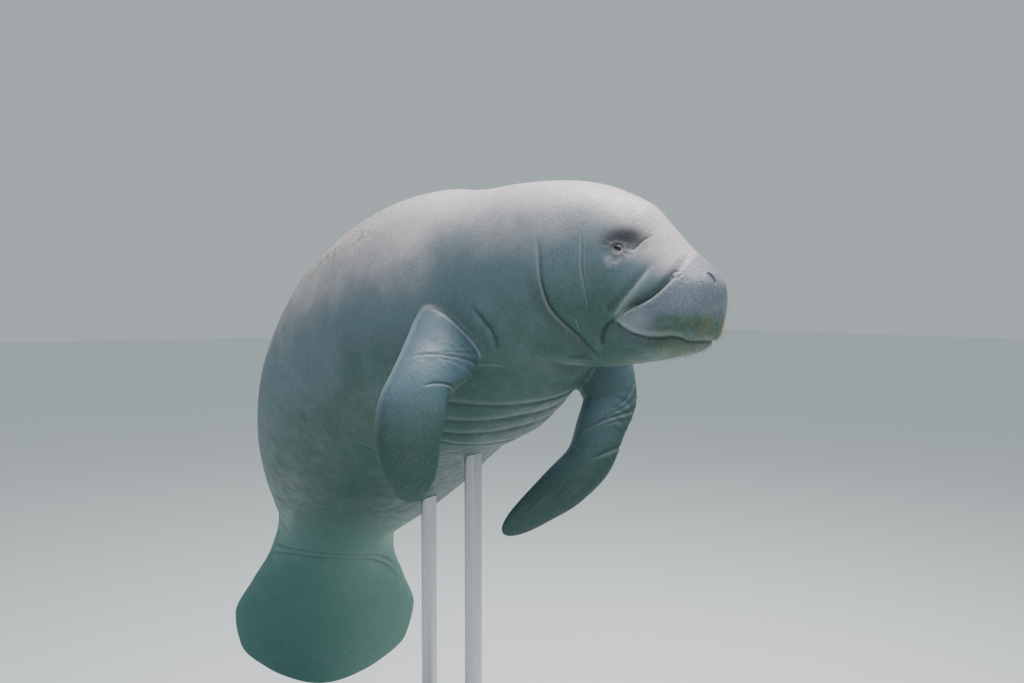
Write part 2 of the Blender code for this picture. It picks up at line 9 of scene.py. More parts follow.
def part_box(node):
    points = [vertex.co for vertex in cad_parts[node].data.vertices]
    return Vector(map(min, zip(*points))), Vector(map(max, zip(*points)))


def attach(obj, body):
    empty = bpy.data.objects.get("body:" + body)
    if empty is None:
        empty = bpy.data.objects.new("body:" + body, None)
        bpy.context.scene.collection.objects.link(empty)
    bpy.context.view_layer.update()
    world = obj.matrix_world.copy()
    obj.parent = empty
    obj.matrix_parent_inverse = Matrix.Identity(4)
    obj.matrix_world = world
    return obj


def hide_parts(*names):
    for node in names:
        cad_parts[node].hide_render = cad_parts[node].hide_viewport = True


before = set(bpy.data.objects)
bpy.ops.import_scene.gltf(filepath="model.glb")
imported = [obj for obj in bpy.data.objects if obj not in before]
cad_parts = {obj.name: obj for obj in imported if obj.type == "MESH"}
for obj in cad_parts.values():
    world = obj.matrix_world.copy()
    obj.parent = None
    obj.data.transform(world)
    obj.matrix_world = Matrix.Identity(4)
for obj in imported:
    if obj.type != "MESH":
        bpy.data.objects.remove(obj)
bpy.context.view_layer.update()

BODY_LENGTH = 2.78
MUZZLE_FRONT = 0.031
HEAD_SCALE = 1.116
HEAD_END = 0.36
SCALE_END = 0.90
PADDLE_SCALE = 0.965
PADDLE_START = 2.00
PADDLE_RUN = 0.3
GIRTH_WIDTH = 1.046
GIRTH_DEPTH = 1.075
GIRTH_CENTRE = 1.20
GIRTH_REACH = 0.50

# distance behind the nose, half width, top, bottom, level of the widest point,
# fullness above and below the widest point
SECTIONS = (
    (0.031, 0.000, -0.014, -0.014, -0.014, 2.0, 2.0),
    (0.036, 0.050, 0.031, -0.061, -0.018, 2.0, 2.3),
    (0.049, 0.076, 0.051, -0.083, -0.024, 1.9, 2.4),
    (0.070, 0.090, 0.069, -0.096, -0.030, 1.8, 2.4),
    (0.094, 0.096, 0.083, -0.106, -0.034, 1.8, 2.3),
    (0.120, 0.099, 0.098, -0.119, -0.034, 1.85, 2.2),
    (0.160, 0.104, 0.125, -0.137, -0.028, 1.9, 2.1),
    (0.206, 0.116, 0.154, -0.155, -0.020, 1.95, 2.1),
    (0.280, 0.144, 0.170, -0.174, -0.012, 2.0, 2.1),
    (0.360, 0.172, 0.180, -0.187, -0.010, 2.0, 2.1),
    (0.450, 0.200, 0.209, -0.212, -0.012, 2.0, 2.15),
    (0.550, 0.230, 0.241, -0.245, -0.015, 2.0, 2.2),
    (0.700, 0.275, 0.286, -0.305, -0.018, 2.05, 2.2),
    (0.900, 0.318, 0.318, -0.326, -0.020, 2.1, 2.2),
    (1.100, 0.342, 0.325, -0.320, -0.020, 2.1, 2.25),
    (1.300, 0.346, 0.313, -0.310, -0.020, 2.1, 2.25),
    (1.500, 0.330, 0.284, -0.284, -0.015, 2.1, 2.2),
    (1.700, 0.288, 0.238, -0.238, -0.010, 2.05, 2.15),
    (1.850, 0.243, 0.190, -0.190, -0.006, 2.0, 2.1),
    (1.960, 0.213, 0.152, -0.152, 0.000, 2.0, 2.0),
    (2.060, 0.208, 0.122, -0.122, 0.000, 1.95, 1.95),
    (2.160, 0.223, 0.094, -0.094, 0.000, 1.8, 1.8),
    (2.300, 0.282, 0.060, -0.060, 0.000, 1.65, 1.65),
    (2.450, 0.340, 0.040, -0.040, 0.000, 1.6, 1.6),
    (2.590, 0.318, 0.027, -0.027, 0.000, 1.6, 1.6),
    (2.700, 0.216, 0.018, -0.018, 0.000, 1.7, 1.7),
    (2.758, 0.106, 0.011, -0.011, 0.000, 1.9, 1.9),
    (2.780, 0.000, 0.000, 0.000, 0.000, 2.0, 2.0),
)

# pose: nose-up pitch, swing to the right and roll of the spine, in degrees, by distance
PITCH = ((0.00, -14), (0.30, -14), (0.50, 19.5), (0.75, 12), (1.00, 24), (1.30, 38.5),
         (1.65, 45), (1.95, 49), (2.30, 65), (2.80, 82))
SWING = ((0.00, -28), (0.30, -28), (0.55, -9.3), (0.90, -4), (1.40, 1.5), (2.00, 4), (2.70, 8))
ROLL = ((0.00, 2.5), (0.30, 2.5), (0.80, 1), (1.60, 5.5), (2.60, 8.5))
ANCHOR_AT = 0.60
ANCHOR = (0.477, 0.041, 1.556)
SPINE_STEP = 0.005


# Curves along the body


def cubic(t, start, leave, end, arrive):
    """Curve from start to end that leaves and arrives with the given slopes."""
    line = (2 * t**3 - 3 * t**2 + 1) * start + (t**3 - 2 * t**2 + t) * leave
    return line + (3 * t**2 - 2 * t**3) * end + (t**3 - t**2) * arrive


def smooth_through(x, knots, values):
    """Smooth curve through the values that never overshoots them."""
    knots = np.asarray(knots, float)
    values = np.asarray(values, float)
    x = np.clip(x, knots[0], knots[-1])
    width = np.diff(knots)
    rise = np.diff(values) / width
    slope = np.zeros_like(values)
    slope[0] = rise[0]
    slope[-1] = rise[-1]
    for i in range(1, len(knots) - 1):
        if rise[i - 1] * rise[i] > 0:
            before = 2 * width[i] + width[i - 1]
            after = width[i] + 2 * width[i - 1]
            slope[i] = (before + after) / (before / rise[i - 1] + after / rise[i])
    k = np.clip(np.searchsorted(knots, x, side="right") - 1, 0, len(knots) - 2)
    t = (x - knots[k]) / width[k]
    return cubic(t, values[k], width[k] * slope[k], values[k + 1], width[k] * slope[k + 1])


def stretch(x):
    """Length coordinate from 0 to 1 that keeps both ends of the body round."""
    front = MUZZLE_FRONT * HEAD_SCALE
    part = (np.asarray(x, float) - front) / (BODY_LENGTH - front)
    return np.arccos(np.clip(1 - 2 * part, -1, 1)) / math.pi


def section_table():
    """The sections with the head, girth and paddle scales put in."""
    table = np.array(SECTIONS, float)
    x = table[:, 0].copy()
    near = x <= HEAD_END
    between = (x > HEAD_END) & (x < SCALE_END)
    head_end = HEAD_END * HEAD_SCALE
    table[near, 0] = x[near] * HEAD_SCALE
    table[between, 0] = head_end + (x[between] - HEAD_END) * (SCALE_END - head_end) / (SCALE_END - HEAD_END)
    fade = np.clip((SCALE_END - x) / (SCALE_END - HEAD_END), 0, 1)
    scale = 1 + (HEAD_SCALE - 1) * fade
    paddle = 1 + (PADDLE_SCALE - 1) * np.clip((x - PADDLE_START) / PADDLE_RUN, 0, 1)
    girth = np.exp(-((table[:, 0] - GIRTH_CENTRE) / GIRTH_REACH) ** 2)
    table[:, 1] *= scale * paddle * (1 + (GIRTH_WIDTH - 1) * girth)
    table[:, 2] *= scale * (1 + (GIRTH_DEPTH - 1) * girth)
    table[:, 3] *= scale * (1 + (GIRTH_DEPTH - 1) * girth)
    table[:, 4] *= scale
    return table


TABLE = section_table()


def section_at(x):
    """Half width, top, bottom, widest level and the two fullnesses at x."""
    u = stretch(x)
    knots = stretch(TABLE[:, 0])
    return [smooth_through(u, knots, TABLE[:, i]) for i in range(1, 7)]


def straight_point(x, turn):
    """Point of the plain straight body; turn is 0 at the left, a quarter turn at the back."""
    half, top, bottom, level, full_top, full_bottom = section_at(x)
    c = np.cos(turn)
    s = np.sin(turn)
    power = 2 / np.where(s >= 0, full_top, full_bottom)
    y = half * np.sign(c) * np.abs(c) ** power
    z = level + np.where(s >= 0, top - level, level - bottom) * np.sign(s) * np.abs(s) ** power
    return np.stack([x + 0 * y, y, z], -1)


def spine_angles(x):
    """Pitch, swing and roll of the spine at x."""
    pitch = smooth_through(x, *zip(*PITCH))
    swing = smooth_through(x, *zip(*SWING))
    roll = smooth_through(x, *zip(*ROLL))
    return np.radians(pitch), np.radians(swing), np.radians(roll)


def spine_frame(x):
    """Forward, left and up directions of the spine at x."""
    pitch, swing, roll = spine_angles(x)
    zero = 0 * pitch
    forward = np.stack([np.cos(pitch) * np.cos(swing), -np.cos(pitch) * np.sin(swing), np.sin(pitch)], -1)
    up = np.stack([-np.sin(pitch) * np.cos(swing), np.sin(pitch) * np.sin(swing), np.cos(pitch)], -1)
    left = np.stack([np.sin(swing), np.cos(swing), zero], -1)
    c = np.cos(roll)[..., None]
    s = np.sin(roll)[..., None]
    return forward, left * c - up * s, up * c + left * s


def spine_line():
    """The spine's middle line, with its anchor in place."""
    stations = np.arange(0, BODY_LENGTH + SPINE_STEP / 2, SPINE_STEP)
    forward = spine_frame(stations)[0]
    centre = np.zeros((len(stations), 3))
    centre[1:] = -np.cumsum((forward[1:] + forward[:-1]) / 2 * SPINE_STEP, 0)
    anchor = np.array([np.interp(ANCHOR_AT, stations, centre[:, i]) for i in range(3)])
    return stations, centre - anchor + np.array(ANCHOR)


SPINE_X, SPINE_CENTRE = spine_line()


def bend(points):
    """Carry points of the straight body into the pose."""
    x = points[..., 0]
    forward, left, up = spine_frame(x)
    centre = np.stack([np.interp(x, SPINE_X, SPINE_CENTRE[:, i]) for i in range(3)], -1)
    ahead = np.minimum(x, 0)[..., None] + np.maximum(x - BODY_LENGTH, 0)[..., None]
    return centre - forward * ahead + left * points[..., 1:2] + up * points[..., 2:3]


# folds of the straight body, as x and z on the side: each runs from its upper or front end
MUZZLE_FOLD = ((0.108, 0.112), (0.110, 0.096), (0.111, 0.063), (0.114, 0.045), (0.127, 0.011),
               (0.140, -0.008), (0.156, -0.024), (0.173, -0.038), (0.187, -0.053), (0.197, -0.066))
CHEEK_FOLD = ((0.156, 0.062), (0.163, 0.045), (0.170, 0.024), (0.181, -0.004), (0.193, -0.029),
              (0.202, -0.050), (0.206, -0.064))
LIP_LINE = ((0.034, -0.064), (0.046, -0.070), (0.056, -0.073), (0.070, -0.070), (0.082, -0.071),
            (0.105, -0.079), (0.135, -0.085), (0.156, -0.084), (0.176, -0.079), (0.198, -0.069))
JAW_CREASE = ((0.198, -0.069), (0.209, -0.080), (0.217, -0.100), (0.221, -0.132))
NECK_FOLD = ((0.366, 0.070), (0.356, 0.032), (0.346, -0.021), (0.325, -0.072), (0.290, -0.102),
             (0.263, -0.120), (0.246, -0.137), (0.228, -0.150))
NECK_CREASE = ((0.306, 0.090), (0.296, 0.070), (0.277, 0.013), (0.249, -0.052), (0.239, -0.085))
SHOULDER_CREASE = ((0.474, -0.060), (0.466, -0.095), (0.460, -0.127), (0.478, -0.172))
BROW_CREASE = ((0.204, 0.068), (0.199, 0.080), (0.193, 0.096), (0.181, 0.111))
# station and bow of each fold under the belly and on the tail stock, and where each is lowest
BELLY_FOLDS = ((0.552, 1.5), (0.598, 1.5), (0.641, 1.4), (0.700, 1.0), (0.790, 0.5), (0.970, 0.3))
BELLY_MIDDLE = 0.05
STOCK_FOLDS = ((2.030, 2.8), (2.078, 2.6))
STOCK_MIDDLE = -0.04
# height over which the underside of the tail stock turns into its flanks
STOCK_TURN = 0.05
# how far the lower jaw stands back from the upper lip at the front, and how far back that goes
JAW_SETBACK = 0.003
JAW_SETBACK_END = 0.105
HEAD_FOLDS_END = 0.32
EYE = (0.230, 0.069)
EYE_HOLLOW = (0.219, 0.088)
EYE_RADIUS = 0.0125
EYE_SINK = 0.0113
LID_RADIUS = 0.0125
NOSTRIL = (0.058, 0.035)


def ease(v):
    v = np.clip(v, 0, 1)
    return v * v * (3 - 2 * v)


def past(v, start, run):
    """Rises from 0 at the start to 1 after a run."""
    return ease((v - start) / run)


def until(v, end, run):
    """Falls from 1 to 0 over the run before the end."""
    return ease((end - v) / run)


def bell(distance, reach):
    return np.exp(-(distance / reach) ** 2)


def swell(v):
    """Rounded ridge beside a crease: zero at the crease, one at a distance of one."""
    v = np.maximum(v, 0)
    return v * np.exp(1 - v)


def curve_through(points, count=40):
    """Evenly sampled smooth curve through a few points."""
    points = np.asarray(points, float)
    length = np.concatenate([[0], np.cumsum(np.linalg.norm(np.diff(points, axis=0), axis=1))])
    along = np.linspace(0, length[-1], count)
    return np.stack([smooth_through(along, length, points[:, i]) for i in range(points.shape[1])], 1)


def from_path(p, q, path):
    """Signed distance to a path in the plane, positive on its right, and the share along it."""
    line = curve_through(path)
    best = np.full(np.shape(p), 1e9)
    side = np.zeros(np.shape(p))
    share = np.zeros(np.shape(p))
    for i in range(len(line) - 1):
        a, b = line[i], line[i + 1]
        d = b - a
        t = np.clip(((p - a[0]) * d[0] + (q - a[1]) * d[1]) / (d @ d), 0, 1)
        rp = p - a[0] - t * d[0]
        rq = q - a[1] - t * d[1]
        distance = np.hypot(rp, rq)
        nearer = distance < best
        best = np.where(nearer, distance, best)
        side = np.where(nearer, np.where(d[0] * rq - d[1] * rp > 0, -1, 1), side)
        share = np.where(nearer, (i + t) / (len(line) - 1), share)
    return best * side, share


def fold(p, q, path, depth, width, right=0, right_width=0.02, left=0, left_width=0.02, slope=1,
         fade=(0.15, 0.15)):
    """A crease along a path with the skin raised on either side; its left flank is slope times wider."""
    distance, share = from_path(p, q, path)
    rise = -depth * bell(distance, np.where(distance > 0, width, width * slope))
    rise += right * swell(distance / right_width)
    rise += left * swell(-distance / left_width)
    ends = ease(share / fade[0]) if fade[0] else 1
    ends = ends * (ease((1 - share) / fade[1]) if fade[1] else 1)
    return rise * ends


def head_relief(x, z):
    """Muzzle pads, folds, lips, eye hollow and lids."""
    rise = fold(x, z, MUZZLE_FOLD, 0.0060, 0.0035, right=0.005, right_width=0.014, slope=2.6,
                fade=(0.45, 0.06))
    rise += fold(x, z, CHEEK_FOLD, 0.0025, 0.0035, right=0.005, right_width=0.009, slope=2.0,
                 fade=(0.50, 0.12))
    rise += fold(x, z, LIP_LINE, 0.0050, 0.0035, right=0.001, right_width=0.010, left=0.004,
                 left_width=0.012, fade=(0.0, 0.06))
    rise += fold(x, z, JAW_CREASE, 0.0050, 0.0040, left=0.002, left_width=0.014, fade=(0.06, 0.30))
    lip = np.interp(x, *zip(*LIP_LINE))
    rise -= JAW_SETBACK * ease((lip - z) / 0.008) * ease((JAW_SETBACK_END - x) / 0.05)
    rise += 0.004 * bell(np.hypot(x - 0.066, z - 0.044), 0.020)
    rise -= 0.008 * bell(np.hypot(x - EYE_HOLLOW[0], z - EYE_HOLLOW[1]), 0.027)
    rise += fold(x, z, BROW_CREASE, 0.002, 0.003, fade=(0.2, 0.3))
    return rise + 0.0015 * bell(np.hypot(x - EYE[0], z - EYE[1]) - LID_RADIUS, 0.005)


def behind_folds(x, y, folds, middle):
    """Distance behind each fold of a set under the body; the folds bow back at both sides."""
    return [x - station - bow * (y - middle) ** 2 for station, bow in folds]


def under_fold(away, depth, width):
    """A crease across the underside with full skin before it."""
    return depth * (0.6 * swell(-away / (4 * width)) - bell(away, width))


def underside(x, z):
    """One on the underside, zero on the flanks, which begin lower where the trunk is deeper."""
    return ease((-z - np.interp(x, (0.60, 0.75, 1.00), (0.17, 0.21, 0.26))) / 0.06)


def trunk_relief(x, y, z):
    """Folds of the neck, shoulder, belly and tail stock."""
    rise = fold(x, z, NECK_FOLD, 0.006, 0.004, right=0.004, right_width=0.024, left=0.002,
                left_width=0.024, slope=1.8, fade=(0.45, 0.08))
    rise += fold(x, z, NECK_CREASE, 0.0009, 0.003, fade=(0.3, 0.3))
    rise += fold(x, z, SHOULDER_CREASE, 0.004, 0.005, right=0.001, left=0.001, fade=(0.3, 0.3))
    under = underside(x, z)
    for away in behind_folds(x, y, BELLY_FOLDS, BELLY_MIDDLE):
        rise += under * under_fold(away, 0.0035, 0.005)
    stock = ease(-z / STOCK_TURN)
    for away in behind_folds(x, y, STOCK_FOLDS, STOCK_MIDDLE):
        rise += stock * under_fold(away, 0.0040, 0.006)
    return rise


def relief(x, y, z):
    """Height of the large folds over the plain body."""
    return head_relief(x, z) * (x < HEAD_FOLDS_END) + trunk_relief(x, y, z)


def plain_normal(x, turn):
    """Direction out of the plain straight body."""
    step = 1e-4
    point = straight_point(x, turn)
    normal = np.cross(straight_point(x, turn + step) - point, straight_point(x + step, turn) - point)
    normal /= np.maximum(np.linalg.norm(normal, axis=-1, keepdims=True), 1e-12)
    outward = np.sign((normal * point * (0, 1, 1)).sum(-1, keepdims=True))
    return normal * np.where(outward == 0, 1, outward)


def skin_points(x, turn, shape):
    """Straight-body points raised by a relief."""
    plain = straight_point(x, turn)
    rise = shape(plain[..., 0], plain[..., 1], plain[..., 2])
    return plain + plain_normal(x, turn) * rise[..., None]


# flipper stations: distance ahead, left and up from the spine's anchor, half width, half thickness
FLIPPER_RIGHT = (
    (0.064, -0.067, -0.043, 0.092, 0.062),
    (0.101, -0.166, -0.055, 0.082, 0.048),
    (0.156, -0.237, -0.121, 0.077, 0.037),
    (0.193, -0.296, -0.174, 0.063, 0.031),
    (0.214, -0.324, -0.223, 0.068, 0.026),
    (0.232, -0.339, -0.290, 0.064, 0.021),
    (0.246, -0.339, -0.352, 0.058, 0.016),
    (0.251, -0.333, -0.392, 0.054, 0.013),
)
FLIPPER_LEFT = (
    (0.042, 0.133, -0.063, 0.090, 0.062),
    (0.064, 0.228, -0.143, 0.080, 0.050),
    (0.091, 0.243, -0.228, 0.066, 0.038),
    (0.107, 0.205, -0.307, 0.058, 0.031),
    (0.120, 0.161, -0.378, 0.055, 0.026),
    (0.114, 0.107, -0.425, 0.054, 0.021),
    (0.097, 0.034, -0.478, 0.044, 0.016),
    (0.070, -0.039, -0.533, 0.036, 0.013),
)
# direction of each flipper's front edge
RIGHT_EDGE = (0.46, 0.82, -0.35)
LEFT_EDGE = (0.50, 0.87, 0.05)
TIP_ROUNDING = 12


# Skin: rows along the body and columns around it

# spacing of the rows wanted at each distance behind the nose
ROW_SPACING = ((0.0346, 0.0004), (0.042, 0.0009), (0.060, 0.0013), (0.270, 0.0013), (0.400, 0.0028),
               (0.550, 0.0045), (2.000, 0.0056), (2.200, 0.0045), (2.680, 0.0040), (2.760, 0.0012),
               (2.780, 0.0005))
COLUMNS = 440
# columns lie closer together round the eyes
EYE_TURN = 0.50
EYE_TURN_REACH = 0.35
EYE_TURN_GAIN = 1.2

EYE_TILT = math.radians(20)
EYE_SLOPE = 0.85
LID_LENGTH = 0.0066
LID_HEIGHT = 0.0034
LID_THICKNESS = 0.0008
LID_SPREAD = 0.0150
# how far the skin dips behind the ball's front inside the lids
LID_DEPTH = 0.0025
NOSTRIL_LENGTH = 0.014
NOSTRIL_BEND = -0.005
NOSTRIL_WIDTH = 0.0038
NOSTRIL_DEPTH = 0.010
NOSTRIL_RUN = (-0.75, -0.25, -0.65)
# low rim round the slit: height, distance from its middle and width
NOSTRIL_RIM = (0.0012, 0.0065, 0.0028)
WHORL = (0.111, 0.046)
# curved wrinkles inside the rounded rear end of the muzzle pad: middle, tilt, half length and half
# height of the outermost, and the size of each beside it
PAD_END = (0.150, -0.054)
PAD_TILT = math.radians(-18)
PAD_REACH = (0.038, 0.024)
PAD_RINGS = ((1.00, 1.0), (0.82, 0.9), (0.64, 0.6), (0.48, 0.35))
PAD_RING_WIDTH = 0.045
# light skin stands this much further out than each dark wrinkle
PAD_RING_SHIFT = 0.06
# low lumps over the whole body: height and size
LUMP_HEIGHT = 0.0009
LUMP_SIZE = 0.30
HEAD_DETAIL_END = 0.42
LID_REACH = 0.02


def waves(points, size, seed, count=14):
    """Smooth random field of about unit height with lumps of the given size."""
    random = np.random.default_rng(seed)
    total = np.zeros(points.shape[:-1])
    for _ in range(count):
        direction = random.normal(size=3)
        direction /= np.linalg.norm(direction)
        pitch = 2 * math.pi / (size * random.uniform(0.7, 1.6))
        total += np.sin(points @ (direction * pitch) + random.uniform(0, 2 * math.pi))
    return total * math.sqrt(2 / count)


def turned(along, across, tilt):
    """Plane coordinates turned by an angle."""
    c = math.cos(tilt)
    s = math.sin(tilt)
    return along * c + across * s, across * c - along * s


def from_eye(x, z):
    """Distance from the eye's middle along and across its slit, measured on the skin."""
    return turned(x - EYE[0], (z - EYE[1]) / EYE_SLOPE, EYE_TILT)


def with_lids(rise, x, z):
    """Lids that hug the eyeball and leave a narrow almond opening."""
    along, across = from_eye(x, z)
    distance = np.hypot(along, across)
    level = float(head_relief(*np.array(EYE))) - EYE_SINK
    ball = level + np.sqrt(np.clip(EYE_RADIUS**2 - distance**2, 0, None))
    lid = ball + LID_THICKNESS * np.where(across > 0, 1.5, 1.0)
    cover = ease((LID_SPREAD - distance) / 0.006)
    lidded = rise + cover * (np.maximum(rise, lid) - rise)
    slit = np.hypot(along / LID_LENGTH, across / LID_HEIGHT)
    opening = 1 - past(slit, 0.80, 0.28)
    return lidded + opening * (ball - LID_DEPTH - lidded)


def eye_wrinkles(x, z):
    """Short creases behind and below the eye and one above the lid."""
    along, across = from_eye(x, z)
    distance = np.hypot(along, across)
    bearing = np.arctan2(across, along)
    arc = distance - 0.0185 - 0.002 * np.sin(3 * bearing)
    rise = -0.0002 * bell(arc, 0.0018) * ease((across + 0.004) / 0.006)
    ray = np.cos(7 * bearing + 2 * np.sin(2 * bearing)) * past(distance, 0.014, 0.006)
    rise += 0.0003 * ray * until(distance, 0.034, 0.012)
    return rise


def nostril_detail(points):
    """Height of a rimmed crescent slit on each side of the muzzle's top, and how far each is inside."""
    rise = np.zeros(points.shape[:-1])
    inside = np.zeros(points.shape[:-1])
    for side in (1, -1):
        spot, normal = top_spot(NOSTRIL[0], side * NOSTRIL[1])
        run = np.array(NOSTRIL_RUN) * (1, side, 1)
        run -= normal * (run @ normal)
        run /= np.linalg.norm(run)
        across = np.cross(normal, run) * -side
        u = (points - spot) @ run / NOSTRIL_LENGTH
        v = (points - spot) @ across - NOSTRIL_BEND * (1 - u * u)
        near = (np.abs(u) < 1.3) & (np.abs(v) < 0.03)
        width = NOSTRIL_WIDTH * np.sqrt(np.clip(1 - u * u, 0.05, 1))
        slit = near * bell(v, width) * until(np.abs(u), 1.1, 0.4)
        inside = np.maximum(inside, slit)
        rise -= NOSTRIL_DEPTH * slit
        height, away, rim_width = NOSTRIL_RIM
        rise += near * height * bell(np.abs(v) - away, rim_width) * until(np.abs(u), 1.3, 0.5)
    return rise, inside


def top_spot(x, across):
    """Point and outward direction on the plain body's top at x and a distance across."""
    turn = np.linspace(0.2, math.pi - 0.2, 1200)
    line = straight_point(np.full_like(turn, x), turn)
    k = int(np.argmin(np.abs(line[:, 1] - across)))
    return line[k], plain_normal(np.array(x), turn[k])


def beside(x, z, path, offsets, depth, width):
    """Fine creases that run beside a fold."""
    distance, share = from_path(x, z, path)
    rise = 0
    for offset in offsets:
        rise = rise - depth * bell(distance - offset, width)
    return rise * ease(share / 0.25) * until(share, 1, 0.25)


def pad_rings(x, z, shift):
    """Curved wrinkles round the rear end of the muzzle pad, moved outwards by a shift."""
    along, across = turned(x - PAD_END[0], z - PAD_END[1], PAD_TILT)
    size = np.hypot(along / PAD_REACH[0], across / PAD_REACH[1])
    total = 0 * size
    for ring, strength in PAD_RINGS:
        total = total + strength * bell(size - ring - shift, PAD_RING_WIDTH)
    return total * past(along, -0.004, 0.016)


def head_detail(points):
    """Height of what is finer than the folds on the head, except the lids."""
    x, _, z = points.T
    wander = 0.002 * waves(points, 0.05, 3)
    rise = beside(x + wander, z, NECK_FOLD, (-0.030, 0.022), 0.0005, 0.0022)
    rise += 0.0010 * pad_rings(x, z, PAD_RING_SHIFT) - 0.0018 * pad_rings(x, z, 0.0)
    away, share = from_path(x, z, MUZZLE_FOLD)
    rise += 0.0016 * bell(away, 0.0028) * until(share, 0.30, 0.25) * past(z, 0.04, 0.02)
    whorl = np.hypot(x - WHORL[0], z - WHORL[1])
    rise += 0.0022 * bell(whorl, 0.0045) - 0.0012 * bell(whorl - 0.0080, 0.0016)
    return rise + nostril_detail(points)[0] + eye_wrinkles(x, z)


def hide_relief(x, y, z):
    """Height of the finished hide over the plain body: the large folds and what is finer."""
    points = np.stack(np.broadcast_arrays(x, y, z), -1)
    lumps = LUMP_HEIGHT * waves(points, LUMP_SIZE, 11) * past(x, 0.10, 0.2) * until(x, 2.7, 0.1)
    rise = relief(x, y, z) + lumps
    head = points[..., 0] < HEAD_DETAIL_END
    part = points[head]
    fine = rise[head] + head_detail(part)
    px, _, pz = part.T
    eye = np.hypot(px - EYE[0], pz - EYE[1]) < LID_REACH
    fine[eye] = with_lids(fine[eye], px[eye], pz[eye])
    rise[head] = fine
    return rise


def row_stations():
    """Distance behind the nose of each row of the skin."""
    spots, spacing = np.array(ROW_SPACING).T
    x = MUZZLE_FRONT * HEAD_SCALE + 0.0004
    stations = []
    while x < BODY_LENGTH - 0.0002:
        stations.append(x)
        x += np.interp(x, spots, spacing)
    return np.array(stations)


def column_turns():
    """Turn of each column of the skin."""
    fine = np.linspace(0, 2 * math.pi, 4001)
    weight = np.ones_like(fine)
    for middle in (EYE_TURN, 2 * math.pi + EYE_TURN, math.pi - EYE_TURN):
        weight += EYE_TURN_GAIN * bell(fine - middle, EYE_TURN_REACH)
    total = np.concatenate([[0], np.cumsum((weight[1:] + weight[:-1]) / 2)])
    return np.interp(np.arange(COLUMNS) / COLUMNS * total[-1], total, fine)


# Flippers: lofted from a ring cut in the skin

# the skin runs on to the flipper over this distance, shorter at the top of the shoulder
RING_MARGIN = 0.014
SHOULDER_MARGIN = 0.006
# share of the flipper's length from where it leaves the body to its own first row
BLADE_MARGIN = 0.028
RING_ANGLES = 96
BRIDGE_ROWS = 12
BLADE_ROWS = 190
LIMB_SAMPLES = 401
# lengths on the skin for each radian of turn, to measure along and round the body alike
SKIN_RADIUS = 0.25


def limb_table(stations, edge):
    """Middle line, edge and flat directions, half width and thickness along a flipper."""
    table = np.array(stations, float)
    points = table[:, :3] + np.array(ANCHOR)
    length = np.concatenate([[0], np.cumsum(np.linalg.norm(np.diff(points, axis=0), axis=1))])
    length /= length[-1]
    share = np.linspace(0, 1, LIMB_SAMPLES)
    line = np.stack([smooth_through(share, length, points[:, i]) for i in range(3)], 1)
    tangent = np.gradient(line, axis=0)
    tangent /= np.linalg.norm(tangent, axis=1, keepdims=True)
    edge = np.array(edge, float)
    across = edge - tangent * (tangent @ edge)[:, None]
    across /= np.linalg.norm(across, axis=1, keepdims=True)
    flat = np.cross(tangent, across)
    ends = np.sqrt(1 - np.minimum(share, 0.99999)**TIP_ROUNDING)
    wide = smooth_through(share, length, table[:, 3]) * ends
    thick = smooth_through(share, length, table[:, 4]) * ends
    return np.column_stack([line, across, flat, wide, thick])


def limb_point(table, share, turn):
    """Point of a smooth flipper at a share of its length and an angle round it."""
    share = np.clip(share, 0, 1) * (LIMB_SAMPLES - 1)
    whole = np.arange(LIMB_SAMPLES)
    part = np.stack([np.interp(share, whole, table[:, i]) for i in range(table.shape[1])], -1)
    wide = part[..., 9] * np.cos(turn)
    thick = part[..., 10] * np.sin(turn)
    return part[..., :3] + part[..., 3:6] * wide[..., None] + part[..., 6:9] * thick[..., None]


def round_smooth(values, times):
    """Even out a closed sequence."""
    for _ in range(times):
        values = (np.roll(values, 1, 0) + 2 * values + np.roll(values, -1, 0)) / 4
    return values


class Body:
    """The skin's grid before the flippers are let in."""

    def __init__(self):
        self.stations = row_stations()
        self.turns = column_turns()
        self.x, self.turn = np.meshgrid(self.stations, self.turns, indexing="ij")
        self.straight = skin_points(self.x, self.turn, hide_relief)
        self.world = bend(self.straight)
        self.tree = KDTree(self.world.size // 3)
        for k, point in enumerate(self.world.reshape(-1, 3)):
            self.tree.insert(point, k)
        self.tree.balance()
        self.along = np.gradient(self.world, axis=0)
        self.round = np.roll(self.world, -1, 1) - np.roll(self.world, 1, 1)
        self.normal = np.cross(self.along, self.round)
        self.normal /= np.maximum(np.linalg.norm(self.normal, axis=-1, keepdims=True), 1e-12)

    def nearest(self, point):
        k = self.tree.find(point)[1]
        return divmod(k, len(self.turns))

    def depth(self, point):
        """How far a point is outside the skin; below zero inside."""
        i, j = self.nearest(point)
        return float((np.array(point) - self.world[i, j]) @ self.normal[i, j])

    def place_of(self, point):
        """Station and turn of the skin nearest to a point."""
        i, j = self.nearest(point)
        i = min(max(i, 1), len(self.stations) - 2)
        off = np.array(point) - self.world[i, j]
        k = (j + 1) % len(self.turns)
        step_x = self.stations[i + 1] - self.stations[i]
        step_turn = (self.turns[k] - self.turns[j]) % (2 * math.pi)
        row = self.world[i + 1, j] - self.world[i, j]
        column = self.world[i, k] - self.world[i, j]
        pair = np.linalg.lstsq(np.column_stack([row, column]), off, rcond=None)[0]
        return self.stations[i] + pair[0] * step_x, self.turns[j] + pair[1] * step_turn


